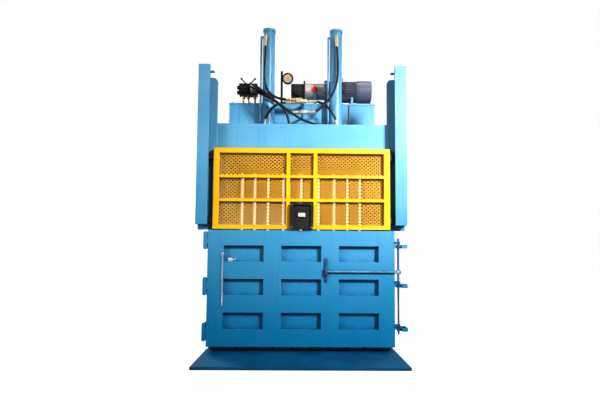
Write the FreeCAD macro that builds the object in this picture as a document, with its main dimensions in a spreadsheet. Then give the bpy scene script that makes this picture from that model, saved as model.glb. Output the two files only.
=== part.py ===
import FreeCAD, Part
import math
import os
import re

# Two-ram recycling baler. Millimetres, +Z up, the front faces -Y.
# The origin is on the floor, midway between the side walls and under the head.

doc = FreeCAD.newDocument("recyclingBaler")
sheet = doc.addObject("Spreadsheet::Sheet", "sizes")

SIZES = {
    # body
    "bodyHalf": 866,          # half the width over the side walls
    "frameFront": 600,        # front plane of the frame, in front of the origin
    "frameBack": 572,         # back plane of the frame, behind the origin
    "baseLap": 34,            # base plate beyond the walls
    "baseThick": 25,
    "apron": 710,             # base plate in front of the frame
    "baseTail": 23,
    "floorTop": 145,
    "barGap": 26,
    "columnDeep": 96,
    "columnWide": 110,
    "tubeWall": 8,
    "wallPlate": 12,
    "ribThick": 16,
    "ribDepth": 80,
    "rearPlate": 12,
    "rearRibHigh": 60,
    "rearRibDeep": 60,
    "slotWide": 30,
    "slotEnd": 45,            # rear slots start above the floor bars
    "slotHead": 50,           # and stop below the head
    "slotOne": 212,
    "slotTwo": 400,
    "slotThree": 560,
    "slotFour": 712,
    # head
    "headBottom": 1955,
    "headHigh": 257,
    "headPlate": 20,
    "deckThick": 40,
    # door
    "doorLap": 19,
    "doorBottom": 70,
    "doorTop": 1160,
    "doorDeep": 88,
    "doorSheet": 8,
    "linerThick": 10,
    "doorGap": 2,
    "recessWide": 376,
    "recessHigh": 150,
    "recessDeep": 55,
    "recessPitchX": 545,
    "recessPitchZ": 314,
    "recessRise": 9,          # middle recess above the door's middle
    # door hinges
    "hingeOut": 23,           # hinge axis outside the door's edge
    "hingeIn": 10,            # hinge axis behind the door's face
    "knuckleRadius": 20,
    "hingePinRadius": 10,
    "hingeHigh": 156,
    "hingeLowRise": 134,
    "hingeMiddleRise": 13,
    "hingeUpperDrop": 99,
    "runFit": 0.06,           # radial clearance of a turning fit
    "pressFit": 0.02,
    # door lock
    "lockOut": 35,            # lock shaft outside the door's edge
    "lockShaftRadius": 10,
    "lockFoot": 120,
    "lockHead": 70,
    "clawLowRise": 166,
    "clawMiddleRise": 25,
    "clawUpperDrop": 146,
    "clawReach": 60,
    "clawThick": 20,
    "clawHigh": 26,
    "hubRadius": 18,
    "leverRise": 157,
    "leverRadius": 9,
    "leverAhead": 32,         # lever bar in front of the lock shaft
    "leverReach": 700,
    "keeperLip": 14,
    "keeperClear": 10,        # around the claw's swing
    "keeperPlay": 1,          # between a claw and the lip that holds it
    "chainInset": 144,
    "chainTop": 930,
    "chainLong": 418,
    "hookInset": 42,          # hook plate from the side of its recess
    "hookLong": 78,
    "hookHigh": 34,
    # gate
    "gateInset": 18,
    "gateClear": 10,          # above the door
    "gateUnder": 3,           # below the head
    "gateStand": 30,          # in front of the guide rails
    "gateTube": 40,
    "stileWide": 58,
    "railTopHigh": 48,
    "railBottomHigh": 42,
    "mullionNear": 112,
    "mullionWide": 36,
    "crossLowRise": 279,
    "crossUpperRise": 508,
    "crossHigh": 28,
    "meshThick": 3,
    "slideGap": 0.5,
    "shoeHigh": 60,
    "shoeLowRise": 60,
    "shoeUpperDrop": 112,
    "gateLift": 780,
    "caseHalf": 104,
    "caseDeep": 50,
    "caseHigh": 242,
    "bezelWide": 18,
    "bezelDeep": 20,
    "paddleHalf": 34,
    "paddleHigh": 38,
    "paddleThick": 12,
    "paddleRise": 156,
    # guide posts
    "postStand": 24,          # outside the side walls
    "postWide": 110,
    "postAhead": 50,          # in front of the gate
    "postSheet": 8,
    "postLip": 17,
    "postFoot": 60,           # above the door
    "postHead": 23,           # above the lifted gate
    "railLap": 15,
    "railThick": 20,
    "railDrop": 94,           # rail top below the post's top
    "railRound": 46,
    "stopPinRadius": 12,
    "stopPinDrop": 55,
    "gussetThick": 14,
    # rams
    "ramHalf": 372,           # each ram's axis from the middle
    "ramAhead": 50,
    "barrelRadius": 66,
    "boreRadius": 55,
    "rodRadius": 40,
    "barrelLong": 1172,       # top of the barrel above the deck
    "capThick": 28,
    "capRadius": 72,
    "glandHigh": 50,
    "glandLip": 20,
    "flangeRadius": 88,
    "pistonHigh": 60,
    "platenClear": 47,        # below the deck
    "platenThick": 160,
    "platenGap": 15,
    "platenSheet": 20,
    "rodFlangeRadius": 90,
    "rodFlangeHigh": 25,
    "linePipeRadius": 11,
    "linePipeGap": 20,        # between a barrel and its hard line's middle
    "portLowRise": 60,        # ports, above the deck and below the barrel's top
    "portUpperDrop": 84,
    "elbowReach": 36,
    "tailLong": 56,
    "seatGap": 0.2,           # between round pieces that rest against each other
    # power pack
    "tankInset": 54,
    "tankFront": 40,
    "tankBack": 540,
    "tankWall": 8,
    "tankHigh": 388,
    "lidThick": 15,
    "lidLap": 3,
    "packAxisY": 290,
    "packRise": 233,          # motor axis above the tank's rim
    "motorStart": 290,
    "motorLong": 363,
    "motorRadius": 122,
    "motorWall": 14,
    "fanCoverLong": 150,
    "fanCoverRadius": 128,
    "fanCoverSheet": 3,
    "rotorRadius": 96,
    "motorShaftRadius": 19,
    "bellLong": 233,
    "bellRadius": 93,
    "bellWall": 10,
    "bellFlange": 22,
    "pumpLong": 162,
    "pumpHalf": 70,
    "pumpPlate": 18,
    "gaugeX": -168,
    "gaugeRise": 133,
    "gaugeRadius": 60,
    "valveLeft": 716,
    "valveRight": 511,
    "valveFront": 100,
    "valveBack": 220,
    "valveRise": 138,
    "valveHigh": 122,
    "portInset": 14,
    "portPitch": 40,
    "portLow": 24,
    "portHigh": 67,
    "leverPinRadius": 5,
    "hornRadius": 6,
    "hornLong": 84,
    "hornRise": 15,
    # hose manifolds, above the deck
    "upperManifoldRise": 344,
    "lowerManifoldRise": 213,
    "hoseDiameter": 24,
}

# Sizes that follow from the ones above.
DERIVED = {
    "chamberHalf": "bodyHalf-columnDeep",
    "baseHalf": "bodyHalf+baseLap",
    "barPitch": "(2*chamberHalf+barGap)/9",
    "barWide": "barPitch-barGap",
    "wallBack": "frameBack-rearPlate",
    "headTop": "headBottom+headHigh",
    "deckBottom": "headTop-deckThick",
    "doorHalf": "bodyHalf+doorLap",
    "doorBack": "frameFront+doorGap+linerThick",
    "doorFace": "doorBack+doorDeep",
    "doorMiddle": "(doorBottom+doorTop)/2",
    "recessMiddleZ": "doorMiddle+recessRise",
    "hingeX": "doorHalf+hingeOut",
    "hingeY": "doorFace-hingeIn",
    "hingeLow": "doorBottom+hingeLowRise",
    "hingeMiddle": "doorMiddle+hingeMiddleRise",
    "hingeUpper": "doorTop-hingeUpperDrop",
    "lockX": "doorHalf+lockOut",
    "lockBottom": "doorBottom+lockFoot",
    "lockTop": "doorTop-lockHead",
    "clawLow": "doorBottom+clawLowRise",
    "clawMiddle": "doorMiddle+clawMiddleRise",
    "clawUpper": "doorTop-clawUpperDrop",
    "leverHeight": "doorMiddle+leverRise",
    "leverY": "hingeY+leverAhead",
    "gateHalf": "bodyHalf-gateInset",
    "gateBottom": "doorTop+gateClear",
    "gateTop": "headBottom-gateUnder",
    "railFace": "frameFront+railThick",
    "gateBack": "railFace+gateStand",
    "gateFace": "gateBack+gateTube",
    "crossLow": "gateBottom+crossLowRise",
    "crossUpper": "gateBottom+crossUpperRise",
    "shoeLow": "gateBottom+shoeLowRise",
    "shoeUpper": "gateTop-shoeUpperDrop",
    "caseLow": "gateBottom+gateUnder+1",
    "paddleTop": "gateBottom+paddleRise",
    "postInner": "bodyHalf+postStand",
    "postOuter": "postInner+postWide",
    "postFace": "gateFace+postAhead",
    "postBottom": "doorTop+postFoot",
    "postTop": "gateTop+gateLift+postHead",
    "railInner": "gateHalf-railLap",
    "railTop": "postTop-railDrop",
    "barrelTop": "headTop+barrelLong",
    "linePipeOut": "barrelRadius+linePipeGap",
    "platenTop": "deckBottom-platenClear",
    "tankHalf": "bodyHalf-tankInset",
    "tankTop": "headTop+tankHigh",
    "lidTop": "tankTop+lidThick",
    "packAxisZ": "tankTop+packRise",
    "motorEnd": "motorStart+motorLong",
    "bellStart": "motorStart-bellFlange-bellLong",
    "valveLow": "tankTop+valveRise",
    "valveTop": "valveLow+valveHigh",
    "valveMiddle": "(valveFront+valveBack)/2",
}


def fillSheet():
    for row, (alias, number) in enumerate(SIZES.items(), start=1):
        cell = "A%d" % row
        sheet.set(cell, str(number))
        sheet.setAlias(cell, alias)
    doc.recompute()


def bound(words):
    """The same expression, with each named size read from the sheet."""
    def cell(match):
        word = match.group(0)
        if word in DERIVED:
            return "(%s)" % bound(DERIVED[word])
        return "sizes." + word if word in SIZES else word
    return re.sub(r"[A-Za-z]\w*", cell, str(words))


def size(alias):
    return float(sheet.get(alias))


def place(thing, x, y, z):
    thing.setExpression("Placement.Base.x", bound(x))
    thing.setExpression("Placement.Base.y", bound(y))
    thing.setExpression("Placement.Base.z", bound(z))


def block(name, x, y, z):
    """A box between two corners, each given as (low, high) along an axis."""
    thing = doc.addObject("Part::Box", name)
    thing.setExpression("Length", bound("(%s)-(%s)" % (x[1], x[0])))
    thing.setExpression("Width", bound("(%s)-(%s)" % (y[1], y[0])))
    thing.setExpression("Height", bound("(%s)-(%s)" % (z[1], z[0])))
    place(thing, x[0], y[0], z[0])
    return thing


TURNS = {
    "+X": FreeCAD.Rotation(FreeCAD.Vector(0, 1, 0), 90),
    "-X": FreeCAD.Rotation(FreeCAD.Vector(0, 1, 0), -90),
    "+Y": FreeCAD.Rotation(FreeCAD.Vector(1, 0, 0), -90),
    "-Y": FreeCAD.Rotation(FreeCAD.Vector(1, 0, 0), 90),
    "+Z": FreeCAD.Rotation(),
}


def rod(name, radius, start, length, axis="+Z", turn=None):
    """A round bar from its start point along one axis."""
    thing = doc.addObject("Part::Cylinder", name)
    thing.setExpression("Radius", bound(radius))
    thing.setExpression("Height", bound(length))
    thing.Placement = FreeCAD.Placement(FreeCAD.Vector(), turn or TURNS[axis])
    place(thing, *start)
    return thing


def fuse(name, things):
    thing = doc.addObject("Part::MultiFuse", name)
    thing.Shapes = things
    return thing


def cut(name, base, tool):
    thing = doc.addObject("Part::Cut", name)
    thing.Base = base
    thing.Tool = tool
    return thing


def group(name, things):
    thing = doc.addObject("Part::Compound", name)
    thing.Links = things
    return thing


def span(side, inner, outer):
    """Low and high X of something between two distances from the middle."""
    if side > 0:
        return inner, outer
    return "-(%s)" % outer, "-(%s)" % inner


def signed(side, distance):
    return distance if side > 0 else "-(%s)" % distance


NODES = []


def node(name, thing):
    thing.Label = name
    NODES.append(thing)
    return thing


def buildBase():
    node("base_plate", block("basePlate", ("-baseHalf", "baseHalf"),
                             ("-frameFront-apron", "frameBack+rearRibDeep+baseTail"), (0, "baseThick")))
    bars = []
    for index in range(-4, 5):
        middle = "%d*barPitch" % index
        bars.append(block("floorBar%d" % (index + 5), (middle + "-barWide/2", middle + "+barWide/2"),
                          ("-frameFront", "wallBack"), ("baseThick", "floorTop")))
    node("floor_bars", group("floorBars", bars))


def buildSideWall(side, name):
    inner = "chamberHalf"
    pieces = [block(name + "Plate", span(side, inner, inner + "+wallPlate"),
                    ("-frameFront+columnWide", "wallBack-columnWide"), ("baseThick", "headBottom"))]
    for place_, (front, back) in {
        "Front": ("-frameFront", "-frameFront+columnWide"),
        "Rear": ("wallBack-columnWide", "wallBack"),
    }.items():
        outer = block(name + place_, span(side, inner, "bodyHalf"), (front, back),
                      ("baseThick", "headBottom"))
        core = block(name + place_ + "Core", span(side, inner + "+tubeWall", "bodyHalf-tubeWall"),
                     (front + "+tubeWall", back + "-tubeWall"), ("baseThick", "headBottom"))
        pieces.append(cut(name + place_ + "Tube", outer, core))
    for index in range(7):
        low = "baseThick+%d*(headBottom-baseThick-ribThick)/6" % index
        pieces.append(block(name + "Rib%d" % (index + 1),
                            span(side, inner + "+wallPlate", inner + "+ribDepth"),
                            ("-frameFront+columnWide", "wallBack-columnWide"),
                            (low, low + "+ribThick")))
    node(name, fuse(name + "Weld", pieces))


def buildRearWall():
    plate = block("rearPlateSheet", ("-bodyHalf", "bodyHalf"), ("wallBack", "frameBack"),
                  ("baseThick", "headBottom"))
    slots = []
    for index, offset in enumerate(("0", "slotOne", "slotTwo", "slotThree", "slotFour")):
        for side in (1, -1) if index else (1,):
            middle = signed(side, offset)
            slots.append(block("rearSlot%d%s" % (index, "r" if side > 0 else "l"),
                               (middle + "-slotWide/2", middle + "+slotWide/2"),
                               ("wallBack-1", "frameBack+1"), ("floorTop+slotEnd", "headBottom-slotHead")))
    slotted = cut("rearSlotted", plate, fuse("rearSlots", slots))
    ribs = []
    levels = ("baseThick", "floorTop+rearRibHigh*5", "doorTop-rearRibHigh", "headBottom-rearRibHigh/2")
    for index, height in enumerate(levels):
        top = height + "+rearRibHigh" if index < 3 else height + "+rearRibHigh/2"
        ribs.append(block("rearRib%d" % index, ("-bodyHalf", "bodyHalf"),
                          ("frameBack", "frameBack+rearRibDeep"), (height, top)))
    for side in (-1, 1):
        ribs.append(block("rearUpright%d" % (side + 1), span(side, "chamberHalf", "bodyHalf"),
                          ("frameBack", "frameBack+rearRibDeep"), ("baseThick", "headBottom")))
    node("rear_wall", fuse("rearWall", [slotted] + ribs))


def buildHead():
    node("front_beam", block("frontBeam", ("-bodyHalf", "bodyHalf"),
                             ("-frameFront", "-frameFront+headPlate"),
                             ("headBottom", "deckBottom")))
    walls = [block("headRear", ("-bodyHalf", "bodyHalf"), ("frameBack-headPlate", "frameBack"),
                   ("headBottom", "deckBottom"))]
    for side in (-1, 1):
        outer = block("headSide%d" % (side + 1), span(side, "chamberHalf", "bodyHalf"),
                      ("-frameFront+headPlate", "frameBack-headPlate"), ("headBottom", "deckBottom"))
        core = block("headSideCore%d" % (side + 1),
                     span(side, "chamberHalf+tubeWall", "bodyHalf-tubeWall"),
                     ("-frameFront+headPlate", "frameBack-headPlate"),
                     ("headBottom+tubeWall", "deckBottom-tubeWall"))
        walls.append(cut("headSideTube%d" % (side + 1), outer, core))
    node("head_walls", fuse("headWalls", walls))
    deck = block("deckPlate", ("-bodyHalf", "bodyHalf"), ("-frameFront", "frameBack"),
                 ("deckBottom", "headTop"))
    holes = [rod("deckHole%d" % (side + 1), "rodRadius+4", (signed(side, "ramHalf"), "-ramAhead",
                 "deckBottom-1"), "deckThick+2") for side in (-1, 1)]
    node("head_deck", cut("headDeck", deck, fuse("deckHoles", holes)))


def buildGuidePost(side, name):
    pieces = [
        block(name + "Front", span(side, "postInner", "postOuter"), ("-postFace", "-postFace+postSheet"),
              ("postBottom", "postTop")),
        block(name + "Web", span(side, "postOuter-postSheet", "postOuter"), ("-postFace", "-railFace"),
              ("postBottom", "postTop")),
        block(name + "Lip", span(side, "postInner", "postInner+postSheet"),
              ("-postFace", "-postFace+postSheet+postLip"), ("postBottom", "postTop")),
        block(name + "Foot", span(side, "postInner", "postOuter"), ("-postFace", "-railFace"),
              ("postBottom-postSheet", "postBottom")),
        rod(name + "StopPin", "stopPinRadius",
            (signed(side, "railInner+26"), "-(postFace+railFace)/2", "postTop-stopPinDrop"),
            "postOuter-railInner-30", "+X" if side > 0 else "-X"),
    ]
    # the wide back flange is the gate's guide, rounded at its inner top corner
    rail = block(name + "Rail", span(side, "railInner", "postOuter"), ("-railFace", "-frameFront"),
                 ("doorTop+gateClear/2", "railTop"))
    square = block(name + "Corner", span(side, "railInner-1", "railInner+railRound"),
                   ("-railFace-1", "-frameFront+1"), ("railTop-railRound", "railTop+1"))
    disc = rod(name + "Disc", "railRound", (signed(side, "railInner+railRound"), "-railFace-1",
               "railTop-railRound"), "railThick+2", "+Y")
    pieces.append(cut(name + "Rounded", rail, cut(name + "Outside", square, disc)))
    for index, height in enumerate(("postBottom+60", "(postBottom+headBottom)/2", "deckBottom-80")):
        pieces.append(block(name + "Gusset%d" % index, span(side, "bodyHalf", "postOuter-postSheet"),
                            ("-frameFront", "-frameFront+columnWide-10"),
                            (height, height + "+gussetThick")))
    node(name, fuse(name + "Weld", pieces))


def buildDoor():
    face, back = "-doorFace", "-doorBack"
    outer = block("doorOuter", ("-doorHalf", "doorHalf"), (face, back), ("doorBottom", "doorTop"))
    cavity = block("doorCavity", ("-doorHalf+doorSheet", "doorHalf-doorSheet"),
                   (face + "+doorSheet", back + "+1"), ("doorBottom+doorSheet", "doorTop-doorSheet"))
    recesses, pans = [], []
    for column in (-1, 0, 1):
        for row in (-1, 0, 1):
            x = "%d*recessPitchX" % column
            z = "recessMiddleZ+%d*recessPitchZ" % row
            tag = "%d%d" % (column + 1, row + 1)
            recesses.append(block("recess" + tag, (x + "-recessWide/2", x + "+recessWide/2"),
                                  (face + "-1", face + "+recessDeep"),
                                  (z + "-recessHigh/2", z + "+recessHigh/2")))
            pans.append(block("pan" + tag, (x + "-recessWide/2-doorSheet", x + "+recessWide/2+doorSheet"),
                              (face, face + "+recessDeep+doorSheet"),
                              (z + "-recessHigh/2-doorSheet", z + "+recessHigh/2+doorSheet")))
    hollow = cut("doorHollow", cavity, fuse("doorPans", pans))
    shell = cut("doorShellBack", outer, hollow)
    node("door_shell", cut("doorShell", shell, fuse("doorRecesses", recesses)))
    node("door_liner", block("doorLiner", ("-doorHalf", "doorHalf"), (back, "-frameFront-doorGap"),
                             ("doorBottom", "doorTop")))


def buildHinges():
    frameSide, doorSide, pins = [], [], []
    for index, middle in enumerate(("hingeLow", "hingeMiddle", "hingeUpper")):
        tag = str(index)
        third = "hingeHigh/3"
        for end in (-1, 1):
            low = "%s%s" % (middle, "-hingeHigh/2" if end < 0 else "+hingeHigh/6+0.5")
            end_ = tag + ("a" if end < 0 else "b")
            barrel = rod("frameBarrel" + end_, "knuckleRadius", ("-hingeX", "-hingeY", low), third + "-0.5")
            leaf = block("frameLeaf" + end_, ("-hingeX-knuckleRadius/2", "-hingeX+knuckleRadius/2"),
                         ("-hingeY", "-frameFront+50"), (low, low + "+" + third + "-0.5"))
            foot = block("frameFoot" + end_, ("-hingeX-knuckleRadius/2", "-bodyHalf"),
                         ("-frameFront+5", "-frameFront+50"), (low, low + "+" + third + "-0.5"))
            bore = rod("frameBore" + end_, "hingePinRadius+pressFit", ("-hingeX", "-hingeY", low + "-1"),
                       third + "+2")
            frameSide.append(cut("frameKnuckle" + end_, fuse("frameSolid" + end_, [barrel, leaf, foot]),
                                 bore))
        low = middle + "-hingeHigh/6+0.5"
        barrel = rod("doorBarrel" + tag, "knuckleRadius", ("-hingeX", "-hingeY", low), third + "-1")
        leaf = block("doorLeaf" + tag, ("-hingeX", "-doorHalf"),
                     ("-hingeY-hingeIn+1", "-hingeY+knuckleRadius"), (low, low + "+" + third + "-1"))
        bore = rod("doorBore" + tag, "hingePinRadius+runFit", ("-hingeX", "-hingeY", low + "-1"),
                   third + "+2")
        doorSide.append(cut("doorKnuckle" + tag, fuse("doorSolid" + tag, [barrel, leaf]), bore))
        shank = rod("pinShank" + tag, "hingePinRadius", ("-hingeX", "-hingeY", middle + "-hingeHigh/2-8"),
                    "hingeHigh+16")
        head = rod("pinHead" + tag, "hingePinRadius+5",
                   ("-hingeX", "-hingeY", middle + "+hingeHigh/2+0.2"), "8")
        pins.append(fuse("hingePin" + tag, [shank, head]))
    node("hinge_frame_knuckles", group("hingeFrameKnuckles", frameSide))
    node("hinge_door_knuckles", group("hingeDoorKnuckles", doorSide))
    node("hinge_pins", group("hingePins", pins))


CLAWS = ("clawLow", "clawMiddle", "clawUpper")


def buildLock():
    shaft = [rod("lockShaftBar", "lockShaftRadius", ("lockX", "-hingeY", "lockBottom"),
                 "lockTop-lockBottom")]
    brackets, keepers = [], []
    for index, middle in enumerate(CLAWS):
        tag = str(index)
        shaft.append(rod("clawHub" + tag, "hubRadius", ("lockX", "-hingeY", middle + "-clawHigh/2"),
                         "clawHigh"))
        shaft.append(block("clawArm" + tag, ("lockX", "lockX+clawReach"),
                           ("-hingeY-clawThick/2", "-hingeY+clawThick/2"),
                           (middle + "-clawHigh/2", middle + "+clawHigh/2")))
        low = middle + "+clawHigh/2+8"
        body = block("bearing" + tag, ("doorHalf", "lockX+16"), ("-hingeY-18", "-hingeY+20"),
                     (low, low + "+26"))
        bore = rod("bearingBore" + tag, "lockShaftRadius+runFit", ("lockX", "-hingeY", low + "-1"), "28")
        brackets.append(cut("lockBearing" + tag, body, bore))
        webIn = "lockX+clawReach+keeperClear"
        high = (middle + "-clawHigh/2-4", middle + "+clawHigh/2+4")
        lipY = "-hingeY-clawThick/2-keeperPlay"
        baseY = "-frameFront+5"
        keepers.append(fuse("keeper" + tag, [
            block("keeperBase" + tag, ("bodyHalf", webIn + "+keeperLip"), (baseY, baseY + "+keeperLip"),
                  high),
            block("keeperWeb" + tag, (webIn, webIn + "+keeperLip"),
                  (lipY + "-keeperLip", baseY + "+keeperLip"), high),
            block("keeperFront" + tag, ("lockX+clawReach/2", webIn + "+keeperLip"),
                  (lipY + "-keeperLip", lipY), high),
        ]))
    node("lock_shaft", fuse("lockShaft", shaft))
    node("lock_keepers", group("lockKeepers", keepers))

    # the lever's bar runs in front of the door to the catch, in a collar clamped on the shaft
    barY = "-leverY"
    collar = fuse("leverSolid", [
        block("leverCollar", ("lockX-20", "lockX+20"), (barY, "-hingeY+20"),
              ("leverHeight-18", "leverHeight+18")),
        rod("leverBar", "leverRadius", ("lockX+20", barY, "leverHeight"), "leverReach+20", "-X"),
    ])
    bore = rod("leverBore", "lockShaftRadius+pressFit", ("lockX", "-hingeY", "leverHeight-20"), "40")
    node("lock_lever", cut("lockLever", collar, bore))

    face = "-doorFace"
    tipX = "lockX-leverReach+14"
    cradle = block("catchBody", (tipX + "-13", tipX + "+13"), (face + "-44", face),
                   ("leverHeight-95", "leverHeight+125"))
    notch = block("catchNotch", (tipX + "-14", tipX + "+14"), (face + "-45", barY + "+leverRadius+0.5"),
                  ("leverHeight-leverRadius-1", "leverHeight+leverRadius+1"))
    relief = block("catchRelief", (tipX + "-14", tipX + "+14"), (face + "-45", face + "-14"),
                   ("leverHeight+30", "leverHeight+126"))
    reliefLow = block("catchReliefLow", (tipX + "-14", tipX + "+14"), (face + "-45", face + "-14"),
                      ("leverHeight-96", "leverHeight-30"))
    brackets.append(cut("leverCatch", cradle, fuse("catchCuts", [notch, relief, reliefLow])))
    node("door_lock_brackets", group("doorLockBrackets", brackets))


def buildChain():
    face = "-doorFace"
    x = "-doorHalf+chainInset"
    y = face + "-8"
    pieces = [
        rod("chainEye", "9", (x, face + "-16", "chainTop"), "16", "+Y"),
        rod("chainWire", "2.5", (x, y, "chainTop-chainLong"), "chainLong-6"),
        rod("chainPin", "7", (x, y, "chainTop-chainLong-66"), "70"),
    ]
    for index in range(16):
        bead = doc.addObject("Part::Sphere", "chainBead%d" % index)
        bead.Radius = 7.5
        place(bead, x, y, "chainTop-chainLong+28+%d*24" % index)
        pieces.append(bead)
    # the hook plate stands on the lower ledge of the upper left recess
    ledge = "recessMiddleZ+recessPitchZ-recessHigh/2"
    hookStart = "-recessPitchX-recessWide/2+hookInset"
    hook = block("chainHook", (hookStart, hookStart + "+hookLong"), (face + "-12", face + "+10"),
                 (ledge, ledge + "+hookHigh"))
    node("door_chain", group("doorChain", [fuse("chainLine", pieces), hook]))


def buildGate():
    back = "-gateFace+gateTube"
    depth = ("-gateFace", back)
    full = ("-gateHalf", "gateHalf")
    bars = [
        block("gateTopRail", full, depth, ("gateTop-railTopHigh", "gateTop")),
        block("gateBottomRail", full, depth, ("gateBottom", "gateBottom+railBottomHigh")),
    ]
    for side in (-1, 1):
        bars.append(block("gateStile%d" % (side + 1), span(side, "gateHalf-stileWide", "gateHalf"), depth,
                          ("gateBottom", "gateTop")))
        bars.append(block("gateMullion%d" % (side + 1),
                          span(side, "mullionNear", "mullionNear+mullionWide"), depth,
                          ("gateBottom", "gateTop")))
    for tag, middle in (("Low", "crossLow"), ("Upper", "crossUpper")):
        bars.append(block("gateCross" + tag, full, depth,
                          (middle + "-crossHigh/2", middle + "+crossHigh/2")))
    node("gate_frame", fuse("gateFrame", bars))
    node("gate_mesh", block("gateMesh", ("-gateHalf+4", "gateHalf-4"), (back, back + "+meshThick"),
                            ("gateBottom+4", "gateTop-4")))
    shoes = []
    for side in (-1, 1):
        for tag, low in (("Low", "shoeLow"), ("Upper", "shoeUpper")):
            name = "%s%d" % (tag, side + 1)
            high = (low, low + "+shoeHigh")
            arm = block("shoeArm" + name, span(side, "gateHalf", "postInner+postSheet+6"), depth, high)
            pad = block("shoePad" + name,
                        span(side, "postInner+postSheet+4", "postOuter-postSheet-slideGap"),
                        ("-postFace+postSheet+slideGap", "-railFace-slideGap"), high)
            shoes.append(fuse("shoe" + name, [arm, pad]))
    node("gate_shoes", group("gateShoes", shoes))

    # latch case with its paddle hinged between two lugs inside the bezel
    case = block("caseBody", ("-caseHalf", "caseHalf"), ("-gateFace-caseDeep", "-gateFace"),
                 ("caseLow", "caseLow+caseHigh"))
    pocket = block("casePocket", ("-caseHalf+bezelWide", "caseHalf-bezelWide"),
                   ("-gateFace-caseDeep-1", "-gateFace-caseDeep+bezelDeep"),
                   ("caseLow+bezelWide", "caseLow+caseHigh-bezelWide"))
    pivotY = "-gateFace-caseDeep+paddleThick/2+2"
    pivotZ = "paddleTop-8"
    lugs = [block("paddleLug%d" % (side + 1), span(side, "paddleHalf+0.6", "paddleHalf+11"),
                  ("-gateFace-caseDeep", "-gateFace-caseDeep+bezelDeep"), ("paddleTop-18", "paddleTop"))
            for side in (-1, 1)]
    bore = rod("paddleBore", "3+runFit", ("-paddleHalf-12", pivotY, pivotZ), "2*paddleHalf+24", "+X")
    node("latch_case", cut("latchCase", fuse("caseSolid", [cut("caseOpen", case, pocket)] + lugs), bore))
    node("latch_paddle", fuse("latchPaddle", [
        block("paddleBlade", ("-paddleHalf", "paddleHalf"),
              (pivotY + "-paddleThick/2", pivotY + "+paddleThick/2"),
              ("paddleTop-paddleHigh", "paddleTop-2")),
        rod("paddlePin", "3", ("-paddleHalf-10", pivotY, pivotZ), "2*paddleHalf+20", "+X"),
    ]))


def buildPlaten():
    half = "bodyHalf-columnDeep-platenGap"
    front = "-frameFront+headPlate+platenGap/3"
    back = "frameBack-headPlate-platenGap/3"
    outer = block("platenOuter", ("-(%s)" % half, half), (front, back),
                  ("platenTop-platenThick", "platenTop"))
    wells = []
    for column in range(3):
        for row in (0, 1):
            x0 = "-(%s)+platenSheet+%d*(2*(%s)-platenSheet)/3" % (half, column, half)
            x1 = "-(%s)+%d*(2*(%s)-platenSheet)/3" % (half, column + 1, half)
            y0 = "%s+platenSheet+%d*((%s)-(%s)-platenSheet)/2" % (front, row, back, front)
            y1 = "%s+%d*((%s)-(%s)-platenSheet)/2" % (front, row + 1, back, front)
            wells.append(block("platenWell%d%d" % (column, row), (x0, x1), (y0, y1),
                               ("platenTop-platenThick+platenSheet", "platenTop+1")))
    pads = [rod("platenPad%d" % (side + 1), "rodFlangeRadius", (signed(side, "ramHalf"), "-ramAhead",
                "platenTop-platenThick+platenSheet/2"), "platenThick-platenSheet/2") for side in (-1, 1)]
    node("platen", fuse("platenWeld", [cut("platenRibs", outer, fuse("platenWells", wells))] + pads))
    rods, pistons = [], []
    pistonLow = "barrelTop-capThick-pistonHigh"
    for side in (-1, 1):
        at = (signed(side, "ramHalf"), "-ramAhead")
        rods.append(fuse("pistonRod%d" % (side + 1), [
            rod("rodBar%d" % (side + 1), "rodRadius", (*at, "platenTop"), pistonLow + "-platenTop"),
            rod("rodFlange%d" % (side + 1), "rodFlangeRadius", (*at, "platenTop"), "rodFlangeHigh"),
        ]))
        pistons.append(rod("pistonDisc%d" % (side + 1), "boreRadius-0.3", (*at, pistonLow), "pistonHigh"))
    node("piston_rods", group("pistonRods", rods))
    node("pistons", group("pistonPair", pistons))


PORT_TURN = 18


def portEnd(side, lean):
    """The outer end of a ram's port, in the sheet's words."""
    out = "(barrelRadius+elbowReach)"
    x = "%s-%.4f*%s" % (signed(side, "ramHalf"), math.sin(lean), out)
    y = "-ramAhead-%.4f*%s" % (math.cos(lean), out)
    return x, y


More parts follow.
